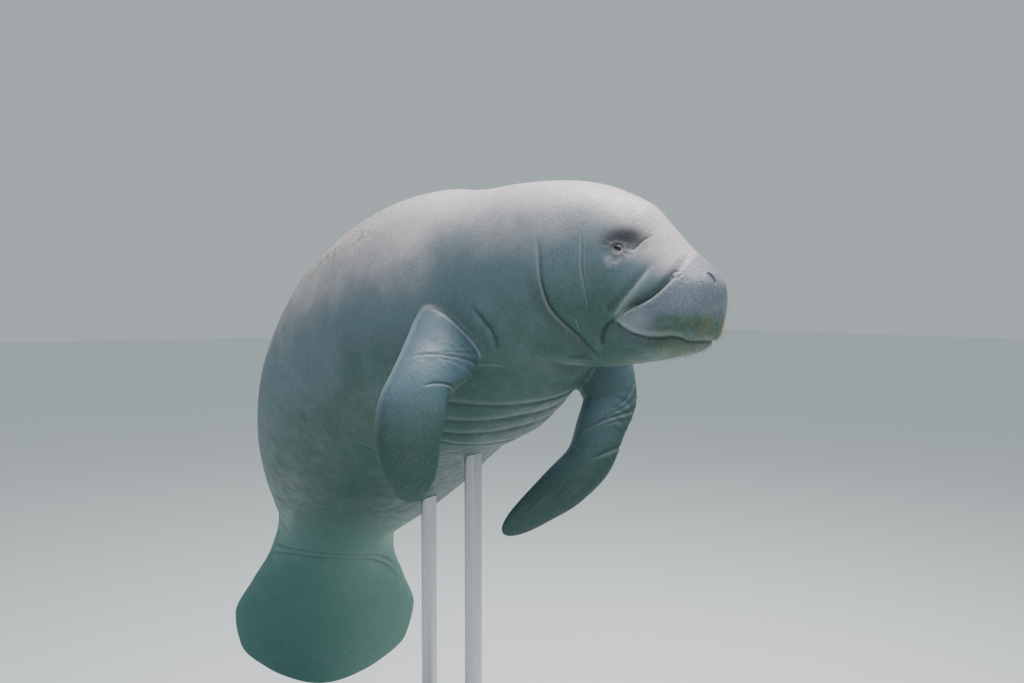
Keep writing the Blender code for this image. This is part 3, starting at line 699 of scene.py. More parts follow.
def limb_ring(body, table):
    """Where a flipper leaves the skin: shares along it, points, and stations and turns of the cut."""
    angles = np.arange(RING_ANGLES) * 2 * math.pi / RING_ANGLES
    shares = np.linspace(0, 0.6, 121)
    leaves = np.zeros(RING_ANGLES)
    for k, angle in enumerate(angles):
        track = limb_point(table, shares, np.full_like(shares, angle))
        outside = [body.depth(point) > 0 for point in track]
        leaves[k] = shares[outside.index(True)]
    leaves = round_smooth(leaves, 4)
    exits = limb_point(table, leaves, angles)
    centre = exits.mean(0)
    places = []
    for point in exits:
        i, j = body.nearest(point)
        away = point - centre
        away -= body.normal[i, j] * (away @ body.normal[i, j])
        away /= np.linalg.norm(away)
        top = ease(away[2] + 0.3)
        margin = RING_MARGIN + (SHOULDER_MARGIN - RING_MARGIN) * top
        places.append(body.place_of(point + away * margin))
    places = np.array(places)
    places[:, 1] = np.unwrap(places[:, 1])
    return leaves, exits, round_smooth(places, 3)


def inside_outline(x, y, outline):
    """True for points inside a closed outline in the plane."""
    inside = np.zeros(x.shape, bool)
    for (ax, ay), (bx, by) in zip(outline, np.roll(outline, -1, 0)):
        crosses = (ay > y) != (by > y)
        inside ^= crosses & (x < (bx - ax) * (y - ay) / (by - ay + 1e-12) + ax)
    return inside


def loop_round(removed, faces):
    """Vertices round the removed faces, in the order those faces turn."""
    edges = set()
    for face in faces[removed]:
        for a, b in zip(face, np.roll(face, -1)):
            edges.add((int(a), int(b)))
    following = {a: b for a, b in edges if (b, a) not in edges}
    loop = [min(following)]
    while following[loop[-1]] != loop[0]:
        loop.append(following[loop[-1]])
    return np.array(loop)


def snapped(x, turn, outline):
    """Shares round the outline for each point of a loop, evened out."""
    flat = np.stack([x, turn * SKIN_RADIUS], 1)
    ring = np.stack([outline[:, 0], outline[:, 1] * SKIN_RADIUS], 1)
    steps = np.roll(ring, -1, 0) - ring
    shares = np.zeros(len(flat))
    for n, point in enumerate(flat):
        t = np.clip(((point - ring) * steps).sum(1) / (steps ** 2).sum(1), 0, 1)
        gap = np.linalg.norm(ring + steps * t[:, None] - point, axis=1)
        k = int(np.argmin(gap))
        shares[n] = k + t[k]
    turns = np.unwrap(shares / len(ring) * 2 * math.pi)
    way = np.sign(turns[-1] - turns[0])
    even = turns[0] + way * np.arange(len(flat)) * 2 * math.pi / len(flat)
    return (even + round_smooth(turns - even, 6)) / (2 * math.pi) * len(ring)


def carried_on(turn, outline):
    """Turns counted on past the full turn where the outline runs over it."""
    if outline[:, 1].max() > 2 * math.pi:
        return np.where(turn < math.pi, turn + 2 * math.pi, turn)
    return turn


def around_ring(values, share):
    """Values of a closed sequence at fractional places."""
    k = np.floor(share).astype(int)
    t = share - k
    count = len(values)
    first = values[k % count]
    second = values[(k + 1) % count]
    if values.ndim == 2:
        t = t[:, None]
    return first * (1 - t) + second * t


def limb_rows(table, ring_world, exits, leaves, angles):
    """Rows of a flipper from the cut ring to its tip: points, share along it and how far it covers."""
    after = leaves + BLADE_MARGIN
    start = limb_point(table, after, angles)
    ahead = limb_point(table, after + 0.01, angles) - start
    ahead /= np.linalg.norm(ahead, axis=1, keepdims=True)
    inward = exits - ring_world
    inward /= np.maximum(np.linalg.norm(inward, axis=1, keepdims=True), 1e-9)
    reach = np.linalg.norm(start - ring_world, axis=1, keepdims=True) * 1.25
    rows = []
    for t in np.arange(1, BRIDGE_ROWS) / BRIDGE_ROWS:
        row = cubic(t, ring_world, reach * inward, start, reach * ahead)
        rows.append((row, 0 * after, ease(t + 0 * after)))
    for t in np.sin(np.linspace(0, 0.997, BLADE_ROWS) * math.pi / 2):
        share = after + (1 - after) * t
        rows.append((limb_point(table, share, angles), share, 1 + 0 * share))
    return rows


# creases across a flipper at its elbow: share along it, slant towards the front edge, depth and
# how far back across the flipper each one reaches
ELBOW_CREASES = (
    (0.455, 0.080, 0.0030, -0.75),
    (0.443, 0.105, 0.0016, -0.10),
    (0.430, 0.130, 0.0016, 0.10),
    (0.470, 0.060, 0.0012, 0.00),
    (0.603, 0.088, 0.0026, 0.00),
    (0.618, 0.100, 0.0012, 0.30),
)
CREASE_WIDTH = 0.0050
# the raised skin beside each crease lies this share of the flipper's length from it
CREST_SHIFT = 0.009
# places of the long low ridges across a flipper
FINGER_RIDGES = (-0.60, -0.15, 0.30, 0.70)


def elbow_lines(share, turn, shift):
    """Strength of the elbow creases at a shift along the flipper from each."""
    across = np.cos(turn)
    total = 0 * share
    for spot, slant, depth, reach in ELBOW_CREASES:
        away = share - spot + slant * across - shift
        total = total + depth * bell(away, CREASE_WIDTH) * ease((across - reach) / 0.4)
    return total


def limb_relief(share, turn):
    """Creases and low ridges of a flipper, as a height over its smooth form."""
    rise = 0.35 * elbow_lines(share, turn, CREST_SHIFT) - 0.8 * elbow_lines(share, turn, 0.0)
    inner = ease(np.cos(turn) / 0.5) * bell(share - 0.40, 0.07)
    rise = rise + 0.0010 * inner * np.sin(190 * share + 5 * np.sin(turn))
    for ridge in FINGER_RIDGES:
        rise = rise + 0.0006 * bell(np.cos(turn) - ridge, 0.14) * past(share, 0.55, 0.2)
    return rise * until(share, 1, 0.1)


class Hide:
    """The growing mesh: each point's place in the pose, on the straight body and on a flipper."""

    def __init__(self, body):
        self.body = body
        index = np.arange(body.x.size).reshape(body.x.shape)
        self.first_row = index[0]
        self.last_row = index[-1]
        a, b = index[:-1], index[1:]
        self.grid = np.stack([a, b, np.roll(b, -1, 1), np.roll(a, -1, 1)], -1).reshape(-1, 4)
        self.keep = np.ones(len(self.grid), bool)
        self.middle_x = (body.x[:-1] + body.x[1:]).ravel() / 2
        half_step = np.diff(body.turns, append=2 * math.pi + body.turns[0]) / 2
        self.middle_turn = (body.turn[:-1] + half_step).ravel()
        self.points = [body.world.reshape(-1, 3).copy()]
        self.straight = [body.straight.reshape(-1, 3).copy()]
        self.limb = [np.zeros((body.x.size, 3))]
        self.count = body.x.size
        self.faces = []

    def add(self, points, straight, limb):
        """Add points and return their numbers."""
        numbers = np.arange(self.count, self.count + len(points))
        self.points.append(points)
        self.straight.append(straight)
        self.limb.append(limb)
        self.count += len(points)
        return numbers

    def cut(self, outline):
        """Take out the grid's faces inside an outline; returns the points round the hole."""
        turn = carried_on(self.middle_turn, outline)
        removed = inside_outline(self.middle_x, turn, outline)
        self.keep &= ~removed
        return loop_round(removed, self.grid)

    def bridge(self, ring, following):
        """Faces from one ring of points to the next."""
        corners = (ring, np.roll(ring, -1), np.roll(following, -1), following)
        self.faces.extend(np.stack(corners, 1).tolist())

    def fan(self, ring, tip):
        """Faces from a ring of points to one point."""
        corners = (ring, np.roll(ring, -1), np.full_like(ring, tip))
        self.faces.extend(np.stack(corners, 1).tolist())

    def result(self):
        """Points, straight places, flipper places and faces."""
        tables = [np.concatenate(table) for table in (self.points, self.straight, self.limb)]
        return (*tables, self.grid[self.keep].tolist() + self.faces)


def add_flipper(hide, stations, edge):
    """Cut the skin where a flipper leaves it and loft the flipper from the rim of the hole."""
    body = hide.body
    table = limb_table(stations, edge)
    leaves, exits, outline = limb_ring(body, table)
    loop = hide.cut(outline)
    share = snapped(body.x.ravel()[loop], carried_on(body.turn.ravel()[loop], outline), outline)
    spots = around_ring(outline, share)
    rim_straight = skin_points(spots[:, 0], spots[:, 1], hide_relief)
    rim = bend(rim_straight)
    hide.points[0][loop] = rim
    hide.straight[0][loop] = rim_straight
    turn = np.unwrap(share * 2 * math.pi / RING_ANGLES)
    rows = limb_rows(table, rim, around_ring(exits, share), around_ring(leaves, share), turn)
    grid, shares, cover = (np.stack(part) for part in zip(*rows))
    grid = raised(grid, limb_relief(shares, turn[None, :]))
    places = np.stack([shares, np.broadcast_to(turn, shares.shape), cover], -1)
    numbers = hide.add(grid.reshape(-1, 3), np.tile(rim_straight, (len(grid), 1)), places.reshape(-1, 3))
    last = loop
    for ring in numbers.reshape(shares.shape):
        hide.bridge(last, ring)
        last = ring
    tip = limb_point(table, np.array([1.0]), np.array([0.0]))
    hide.fan(last, hide.add(tip, rim_straight[:1], np.array([[1.0, 0.0, 1.0]]))[0])


def build_skin():
    """One closed mesh of body and flippers, with what the colours need."""
    hide = Hide(Body())
    add_flipper(hide, FLIPPER_RIGHT, RIGHT_EDGE)
    add_flipper(hide, FLIPPER_LEFT, LEFT_EDGE)
    front = MUZZLE_FRONT * HEAD_SCALE
    for x, ring in ((front, hide.first_row), (BODY_LENGTH, hide.last_row[::-1])):
        pole = straight_point(np.array([x]), np.array([0.0]))
        hide.fan(ring, hide.add(bend(pole), pole, np.zeros((1, 3)))[0])
    return hide.result()


def raised(grid, height):
    """Move each point of a flipper away from its middle by a height."""
    middle = grid.mean(1, keepdims=True)
    away = grid - middle
    away /= np.maximum(np.linalg.norm(away, axis=-1, keepdims=True), 1e-6)
    return grid + away * height[..., None]


def mesh_object(name, points, faces, material):
    """A smooth-shaded mesh in the scene."""
    mesh = bpy.data.meshes.new(name)
    mesh.from_pydata(np.asarray(points).tolist(), [], faces)
    mesh.shade_smooth()
    item = bpy.data.objects.new(name, mesh)
    bpy.context.scene.collection.objects.link(item)
    mesh.materials.append(material)
    return item


def give(mesh, name, values):
    """Store a number or a vector for each vertex."""
    values = np.asarray(values, np.float32)
    if values.ndim == 2:
        mesh.attributes.new(name, "FLOAT_VECTOR", "POINT").data.foreach_set("vector", values.ravel())
    else:
        mesh.attributes.new(name, "FLOAT", "POINT").data.foreach_set("value", values)


# Colours and finishes


def srgb(red, green, blue):
    """Screen colour, 0 to 255, as linear light with full cover."""
    value = np.array([red, green, blue]) / 255
    linear = np.where(value <= 0.04045, value / 12.92, ((value + 0.055) / 1.055) ** 2.4)
    return (*map(float, linear), 1.0)


class Finish:
    """Nodes of one material, wired by short calls."""

    def __init__(self, name):
        self.material = bpy.data.materials.new(name)
        self.material.use_nodes = True
        self.tree = self.material.node_tree
        self.shader = self.tree.nodes["Principled BSDF"]

    def put(self, socket, value):
        if isinstance(value, bpy.types.NodeSocket):
            self.tree.links.new(value, socket)
        else:
            socket.default_value = value

    def set(self, name, value):
        self.put(self.shader.inputs[name], value)

    def place(self):
        return self.tree.nodes.new("ShaderNodeTexCoord").outputs["Object"]

    def painted(self, name, vector=False):
        node = self.tree.nodes.new("ShaderNodeAttribute")
        node.attribute_name = name
        return node.outputs["Vector" if vector else "Fac"]

    def math(self, operation, first, second=0.0):
        node = self.tree.nodes.new("ShaderNodeMath")
        node.operation = operation
        self.put(node.inputs[0], first)
        self.put(node.inputs[1], second)
        return node.outputs[0]

    def stretched(self, vector, scale):
        node = self.tree.nodes.new("ShaderNodeVectorMath")
        node.operation = "MULTIPLY"
        self.put(node.inputs[0], vector)
        self.put(node.inputs[1], scale)
        return node.outputs[0]

    def noise(self, vector, scale, detail=3.0, roughness=0.55, distortion=0.0):
        node = self.tree.nodes.new("ShaderNodeTexNoise")
        self.put(node.inputs["Vector"], vector)
        self.put(node.inputs["Scale"], scale)
        self.put(node.inputs["Detail"], detail)
        self.put(node.inputs["Roughness"], roughness)
        self.put(node.inputs["Distortion"], distortion)
        return node.outputs["Fac"]

    def cells(self, vector, scale):
        node = self.tree.nodes.new("ShaderNodeTexVoronoi")
        self.put(node.inputs["Vector"], vector)
        self.put(node.inputs["Scale"], scale)
        return node.outputs["Distance"]

    def band(self, value, low, high, to_low=0.0, to_high=1.0):
        """Smooth step of a value from one level to another."""
        node = self.tree.nodes.new("ShaderNodeMapRange")
        node.interpolation_type = "SMOOTHSTEP"
        self.put(node.inputs["Value"], value)
        self.put(node.inputs["From Min"], low)
        self.put(node.inputs["From Max"], high)
        self.put(node.inputs["To Min"], to_low)
        self.put(node.inputs["To Max"], to_high)
        return node.outputs["Result"]

    def mix(self, share, first, second):
        node = self.tree.nodes.new("ShaderNodeMix")
        node.data_type = "RGBA"
        self.put(node.inputs["Factor"], share)
        colours = [socket for socket in node.inputs if socket.type == "RGBA"]
        self.put(colours[0], first)
        self.put(colours[1], second)
        return next(socket for socket in node.outputs if socket.type == "RGBA")

    def both(self, first, second):
        return self.math("MULTIPLY", first, second)

    def bump(self, height, distance, before=None, strength=1.0):
        node = self.tree.nodes.new("ShaderNodeBump")
        self.put(node.inputs["Height"], height)
        self.put(node.inputs["Distance"], distance)
        self.put(node.inputs["Strength"], strength)
        if before is not None:
            self.put(node.inputs["Normal"], before)
        return node.outputs["Normal"]


# pale back colour, which also carries painted light on faces turned up
BACK_AND_TOP_LIGHT = srgb(196, 184, 188)
FLANK = srgb(97, 117, 126)
# green-grey underside colour, darkened as painted shade
UNDERSIDE_AND_SHADE = srgb(48, 83, 73)
TAIL_NEAR = srgb(64, 116, 110)
# lighter tail colour, painted on its far side as light falling there
TAIL_LIT_EDGE = srgb(96, 141, 125)
MUZZLE_TOP = srgb(114, 122, 138)
MUZZLE_LOW = srgb(62, 90, 70)
MUZZLE_DARK = srgb(50, 62, 66)
MUZZLE_RIM = srgb(176, 152, 96)
# dark slate painted as shade in the eye hollow and round the lids
HOLLOW_SHADE = srgb(38, 42, 49)
EYE_PINK = srgb(190, 172, 176)
# dark painted as shade in folds, creases and wrinkles; also the dark of the fine speckle
FOLD_SHADE_AND_SPECKLE = srgb(38, 48, 48)
# pale painted as highlight on the raised skin beside folds and creases
CREST_HIGHLIGHT = srgb(160, 172, 168)
ALGAE = srgb(104, 98, 74)
SPOT = srgb(198, 204, 200)
# lit and shaded copies of the flipper colour; the shaded one also gives the dark mottling
LIMB_LIT = srgb(80, 105, 118)
LIMB_SHADE_AND_MOTTLE = srgb(50, 80, 74)
# pale rear edge of the flippers, also painted as highlight along the near flipper's top rim
LIMB_EDGE_AND_RIM_HIGHLIGHT = srgb(176, 182, 184)
EYE_BLACK = srgb(16, 13, 12)
EYE_BROWN = srgb(44, 32, 26)
BRISTLE_PALE = srgb(190, 186, 172)
BRISTLE_DULL = srgb(134, 128, 114)
PAINT_DARK = srgb(58, 60, 63)
PAINT_LIGHT = srgb(66, 68, 71)
STEEL_DARK = srgb(178, 179, 182)
STEEL_LIGHT = srgb(198, 199, 201)
FLOOR_PALE = srgb(236, 239, 240)


def skin_finish():
    f = Finish("hide")
    place = f.place()
    straight = f.painted("straight", vector=True)
    colour = tone(f, place)
    colour = head_tone(f, place, colour)
    colour = limb_tone_and_light(f, place, colour)
    colour = marks(f, place, straight, colour)
    f.set("Base Color", colour)
    soft = f.noise(place, 30.0, 4.0, 0.6)
    f.set("Roughness", f.band(soft, 0.3, 0.7, 0.42, 0.60))
    f.set("Specular IOR Level", 0.42)
    f.set("Normal", skin_bump(f, place, straight))
    return f.material


def tone(f, place):
    """Pale back with painted top light, slate flanks, green-grey underside darkened as painted shade, and
    tail with its far side painted lighter as lit, with soft mottling.
    """
    drift = f.band(f.noise(place, 5.0, 4.0, 0.6), 0.25, 0.75, -0.10, 0.10)
    # painted light: the back tone is higher where the skin faces up, so tops are painted paler and lower
    # faces darker
    back_and_top_light = f.math("ADD", f.painted("back_and_top_light"), drift)
    colour = f.mix(f.band(back_and_top_light, 0.02, 0.46), UNDERSIDE_AND_SHADE, FLANK)
    colour = f.mix(f.band(back_and_top_light, 0.42, 0.95), colour, BACK_AND_TOP_LIGHT)
    # painted light: the tail is darker on its near side and paler on its far side
    tail = f.mix(f.band(f.painted("side"), -0.25, 0.30), TAIL_NEAR, TAIL_LIT_EDGE)
    colour = f.mix(f.both(f.painted("tail"), 0.85), colour, tail)
    cloud = f.noise(place, 16.0, 5.0, 0.65)
    return f.mix(f.band(cloud, 0.42, 0.72, 0.0, 0.22), colour, FLANK)


def head_tone(f, place, colour):
    """Muzzle, painted shade in the eye hollow and round the lids, and the pink skin below the eye."""
    blotch = f.noise(place, 55.0, 4.0, 0.6)
    pad = f.painted("muzzle")
    colour = f.mix(f.both(pad, 0.78), colour, MUZZLE_TOP)
    stipple = f.both(f.both(pad, f.band(f.cells(place, 210.0), 0.42, 0.10)), f.band(blotch, 0.3, 0.6))
    colour = f.mix(f.both(stipple, 0.55), colour, MUZZLE_DARK)
    flecks = f.both(pad, f.band(f.noise(place, 190.0, 3.0, 0.6), 0.54, 0.70))
    colour = f.mix(f.both(flecks, 0.22), colour, SPOT)
    low = f.both(f.painted("muzzle_low"), f.band(blotch, 0.25, 0.6, 0.55, 1.0))
    colour = f.mix(low, colour, MUZZLE_LOW)
    rim = f.both(f.painted("muzzle_rim"), f.band(blotch, 0.35, 0.6, 0.35, 0.9))
    colour = f.mix(rim, colour, MUZZLE_RIM)
    pink = f.both(f.painted("eye_pink"), f.band(blotch, 0.42, 0.62, 0.15, 0.8))
    colour = f.mix(pink, colour, EYE_PINK)
    # painted shade: dark slate over the eye hollow and round the lids
    return f.mix(f.painted("eye_hollow_shade"), colour, HOLLOW_SHADE)


def limb_tone_and_light(f, place, colour):
    """Slate flippers, painted lighter where they face up and darker towards the tip and on the far flipper
    as painted shade, mottled, with a paler edge and a painted highlight on the near flipper's top rim.
    """
    mottle = f.noise(place, 22.0, 5.0, 0.62)
    # painted light and shade: the lit colour where the flipper faces up, the shaded one lower down
    limb = f.mix(f.band(f.painted("limb_tone_and_light"), 0.30, 1.0), LIMB_SHADE_AND_MOTTLE, LIMB_LIT)
    limb = f.mix(f.band(mottle, 0.45, 0.7, 0.0, 0.35), limb, LIMB_SHADE_AND_MOTTLE)
    # pale rear edge and painted highlight along the near flipper's top rim
    limb = f.mix(f.painted("limb_edge_and_rim_highlight"), limb, LIMB_EDGE_AND_RIM_HIGHLIGHT)
    return f.mix(f.painted("limb"), colour, limb)


def marks(f, place, straight, colour):
    """Painted shade in the folds and painted highlights beside them, fine speckle, algae, pale spots and
    scratches.
    """
    # painted shade in the folds, creases, nostril slits and along the near flipper's root
    colour = f.mix(f.painted("crease_shade"), colour, FOLD_SHADE_AND_SPECKLE)
    # painted highlight on the raised skin beside the folds
    colour = f.mix(f.painted("crest_highlight"), colour, CREST_HIGHLIGHT)
    grain = f.noise(place, 240.0, 3.0, 0.65)
    coarse = f.noise(place, 90.0, 3.0, 0.6)
    dark = f.both(f.band(grain, 0.52, 0.68), f.band(coarse, 0.38, 0.62, 0.15, 0.55))
    colour = f.mix(dark, colour, f.mix(0.62, colour, FOLD_SHADE_AND_SPECKLE))
    light = f.both(f.band(grain, 0.48, 0.34), f.band(coarse, 0.62, 0.38, 0.0, 0.35))
    colour = f.mix(light, colour, f.mix(0.22, colour, SPOT))
    growth = f.noise(place, 64.0, 6.0, 0.75)
    stands = f.noise(place, 9.0, 3.0, 0.6)
    patches = f.both(f.band(growth, 0.47, 0.58), f.band(stands, 0.32, 0.52))
    algae = f.both(f.painted("algae"), patches)
    colour = f.mix(f.both(algae, f.band(grain, 0.35, 0.6, 0.25, 0.85)), colour, ALGAE)
    cloud = f.noise(place, 7.0, 2.0, 0.5)
    dots = f.both(f.band(f.cells(place, 15.0), 0.045, 0.020), f.band(cloud, 0.56, 0.64))
    colour = f.mix(f.both(dots, 0.5), colour, SPOT)
    return f.mix(f.both(scratches(f, straight), 0.18), colour, SPOT)


def scratches(f, straight):
    """Thin broken pale lines, most of them running round the body."""
    long_way = f.stretched(straight, (1.0, 0.22, 0.30))
    line = f.math("ABSOLUTE", f.math("SUBTRACT", f.noise(long_way, 7.0, 1.0, 0.4), 0.5))
    kept = f.band(f.noise(straight, 9.0, 2.0, 0.5), 0.60, 0.66)
    return f.both(f.band(line, 0.0035, 0.0010), kept)


def skin_bump(f, place, straight):
    """Pebbled, finely wrinkled hide; the wrinkles run round the body."""
    round_way = f.stretched(straight, (1.0, 0.35, 0.35))
    wrinkle = f.math("ABSOLUTE", f.math("SUBTRACT", f.noise(round_way, 75.0, 3.0, 0.55, 0.4), 0.5))
    body = f.math("SUBTRACT", 1.0, f.painted("limb"))
    surface = f.bump(f.both(f.band(wrinkle, 0.0, 0.08), body), 0.0007, strength=0.34)
    pebble = f.cells(place, 230.0)
    surface = f.bump(pebble, 0.0006, surface, 0.45)
    whisker = f.stretched(straight, (0.5, 1.0, 0.22))
    strokes = f.both(f.noise(whisker, 330.0, 2.0, 0.5), f.painted("muzzle"))
    surface = f.bump(strokes, 0.0014, surface, 0.8)
    return f.bump(f.noise(place, 420.0, 3.0, 0.6), 0.0004, surface, 0.6)


def eye_finish():
    f = Finish("wet dark eye")
    place = f.place()
    f.set("Base Color", f.mix(f.band(f.noise(place, 300.0, 2.0), 0.4, 0.7), EYE_BLACK, EYE_BROWN))
    f.set("Roughness", f.band(f.noise(place, 120.0, 2.0), 0.3, 0.7, 0.14, 0.26))
    f.set("Specular IOR Level", 0.35)
    return f.material


def bristle_finish():
    f = Finish("pale bristle")
    f.set("Base Color", f.mix(f.painted("shade"), BRISTLE_PALE, BRISTLE_DULL))
    f.set("Roughness", 0.45)
    return f.material


def base_finish():
    f = Finish("satin base paint")
    place = f.place()
    cloud = f.noise(place, 6.0, 4.0, 0.6)
    f.set("Base Color", f.mix(f.band(cloud, 0.35, 0.7), PAINT_DARK, PAINT_LIGHT))
    f.set("Roughness", f.band(f.noise(place, 40.0, 3.0), 0.3, 0.7, 0.34, 0.46))
    f.set("Normal", f.bump(f.noise(place, 900.0, 2.0, 0.5), 0.0002, strength=0.5))
    return f.material


def rod_finish():
    f = Finish("brushed steel")
    place = f.place()
    brushed = f.noise(f.stretched(place, (900.0, 900.0, 14.0)), 1.0, 3.0, 0.5)
    f.set("Base Color", f.mix(f.band(brushed, 0.3, 0.7), STEEL_DARK, STEEL_LIGHT))
    f.set("Metallic", 1.0)
    f.set("Roughness", f.band(brushed, 0.3, 0.7, 0.30, 0.40))
    return f.material


def floor_finish():
    f = Finish("pale floor")
    f.set("Base Color", FLOOR_PALE)
    f.set("Roughness", 0.85)
    return f.material


# Where each tone, painted shade and painted highlight lies

# angle round the near flipper of the middle of its upper edge
SHOULDER_TOP = math.radians(70)
# soft ovals on the side of the head, painted shade on the cheek and in the eye hollow, a painted highlight
# on the muzzle pad's end, and the pink below the eye: middle, half length, half height, tilt
# painted shade on the cheek
CHEEK_SHADE_SPOT = ((0.262, -0.030), 0.085, 0.090, 0.0)
# painted highlight on the rounded rear end of the muzzle pad
PAD_HIGHLIGHT_SPOT = ((0.157, -0.056), 0.026, 0.018, PAD_TILT)
# painted shade over the sunken eye hollow
HOLLOW_SHADE_SPOT = ((0.225, 0.088), 0.040, 0.026, -0.24)
PINK_SPOT = ((0.231, 0.048), 0.016, 0.018, 0.0)
# soft lines along the folds, painted shade in them and painted highlights beside them: path, strength,
# width, how far they fade at both ends, and offset
SHADE_LINES = (
    (MUZZLE_FOLD, 0.65, 0.0030, (0.50, 0.05), 0.0),
    (MUZZLE_FOLD, 0.50, 0.0100, (0.55, 0.10), -0.007),
    (CHEEK_FOLD, 0.35, 0.0080, (0.35, 0.10), -0.008),
    (LIP_LINE, 0.55, 0.0030, (0.01, 0.04), 0.0),
    (LIP_LINE, 0.35, 0.0100, (0.01, 0.10), 0.008),
    (JAW_CREASE, 0.70, 0.0035, (0.02, 0.25), 0.0),
    (NECK_CREASE, 0.25, 0.0020, (0.2, 0.2), 0.0),
    (SHOULDER_CREASE, 0.50, 0.0030, (0.2, 0.2), 0.0),
    (BROW_CREASE, 0.25, 0.0020, (0.2, 0.3), 0.002),
)
NECK_SHADE_LINES = ((NECK_FOLD, 0.75, 0.0030, (0.25, 0.04), 0.0),)
NECK_SHADE = ((NECK_FOLD, 0.40, 0.0130, (0.40, 0.10), -0.010),)
# painted highlight along the upper part of the muzzle fold
MUZZLE_CREST_HIGHLIGHT = ((MUZZLE_FOLD, 0.65, 0.0024, (0.02, 0.60), 0.0),)
# painted highlight lines on the raised skin beside folds
HIGHLIGHT_LINES = (
    (MUZZLE_FOLD, 0.50, 0.0030, (0.35, 0.04), 0.0050),
    (CHEEK_FOLD, 0.50, 0.0075, (0.30, 0.10), 0.0080),
    (LIP_LINE, 0.35, 0.0050, (0.45, 0.03), -0.008),
    (NECK_FOLD, 0.50, 0.0020, (0.05, 0.50), -0.004),
    (NECK_CREASE, 0.40, 0.0014, (0.1, 0.6), -0.003),
    (NECK_CREASE, 0.30, 0.0012, (0.1, 0.7), 0.004),
    (BROW_CREASE, 0.65, 0.0020, (0.2, 0.3), -0.001),
)
HEAD_LINES_END = 0.55
MOST_SHADE = 0.9
MOST_HIGHLIGHT = 0.7


def spot_mask(x, z, spot):
    """Soft oval on the side of the head."""
    centre, length, height, tilt = spot
    along, across = turned(x - centre[0], z - centre[1], tilt)
    return np.exp(-((along / length) ** 2 + (across / height) ** 2) ** 2)


def line_mask(x, z, lines):
    """Sum of soft lines beside their paths."""
    total = 0 * x
    for path, strength, width, fade, offset in lines:
        distance, share = from_path(x, z, path)
        ends = ease(share / fade[0]) * ease((1 - share) / fade[1])
        total = total + strength * bell(distance - offset, width) * ends
    return total


def head_masks(x, y, z):
    """Painted shade in the folds of head and neck, the muzzle pad's wrinkles and the nostril slits, and
    painted highlights beside them.
    """
    low = until(z, 0.02, 0.08)
    dark = line_mask(x, z, SHADE_LINES) + line_mask(x, z, NECK_SHADE_LINES) * (0.3 + 0.7 * low)
    dark += line_mask(x, z, NECK_SHADE) * low + 0.45 * pad_rings(x, z, 0.0)
    dark += 0.90 * nostril_detail(np.stack([x, y, z], -1))[1]
    light = line_mask(x, z, HIGHLIGHT_LINES) + line_mask(x, z, MUZZLE_CREST_HIGHLIGHT) * past(z, 0.03, 0.03)
    light += 0.50 * pad_rings(x, z, PAD_RING_SHIFT) + 0.22 * spot_mask(x, z, PAD_HIGHLIGHT_SPOT)
    return dark, light


def fold_masks(x, y, z):
    """Painted shade in the folds and painted highlights on the skin beside them."""
    dark = np.zeros(x.shape)
    light = np.zeros(x.shape)
    head = x < HEAD_LINES_END
    dark[head], light[head] = head_masks(x[head], y[head], z[head])
    under = underside(x, z)
    for away in behind_folds(x, y, BELLY_FOLDS, BELLY_MIDDLE):
        dark += under * 0.55 * bell(away, 0.0045)
        light += under * 0.16 * bell(away + 0.014, 0.006)
    stock = ease(-z / STOCK_TURN)
    for away in behind_folds(x, y, STOCK_FOLDS, STOCK_MIDDLE):
        dark += stock * 0.40 * bell(away, 0.006)
        light += stock * 0.12 * bell(away + 0.016, 0.007)
    return np.clip(dark, 0, MOST_SHADE), np.clip(light, 0, MOST_HIGHLIGHT)


def shoulder_top(turn, y):
    """One along the top of the near flipper's root."""
    return past(np.cos(turn - SHOULDER_TOP), 0.3, 0.4) * (y < 0)


def body_tones(mesh, up, straight, limb):
    """Pale back with painted top light, tail, painted shade in the folds with painted highlights beside
    them, and algae.
    """
    x, y, z = straight.T
    share, turn, cover = limb.T
    body = 1 - cover
    level = np.clip(z / 0.25, -1, 1)
    face = until(x, 0.34, 0.14) * until(np.abs(y), 0.115, 0.05) * past(z, 0.02, 0.07)
    # painted shade: the cheek's back tone is lowered
    cheek_shade = spot_mask(x, z, CHEEK_SHADE_SPOT)
    # back tone: own tone by height on the body, plus painted light where the skin faces up and on the upper
    # face, less painted shade on the cheek
    give(mesh, "back_and_top_light", np.clip(0.42 + 0.34 * up + 0.26 * level + 0.34 * face - 0.16 * cheek_shade, 0, 1))
    give(mesh, "side", y)
    give(mesh, "tail", past(x, 1.35, 0.75))
    # dark is painted shade in the folds and along the near flipper's root, light is painted highlight
    # beside the folds
    dark, light = fold_masks(x, y, z)
    shade = shoulder_top(turn, y) * bell(cover - 0.30, 0.22)
    dark = dark * body + 0.45 * shade + 150 * elbow_lines(share, turn, 0.0) * cover
    light = light * body + 70 * elbow_lines(share, turn, CREST_SHIFT) * cover
    give(mesh, "crease_shade", np.clip(dark, 0, MOST_SHADE))
    give(mesh, "crest_highlight", np.clip(light, 0, MOST_HIGHLIGHT))
    give(mesh, "algae", past(z, 0.10, 0.10) * past(x, 0.60, 0.30) * until(x, 1.75, 0.4) * body)


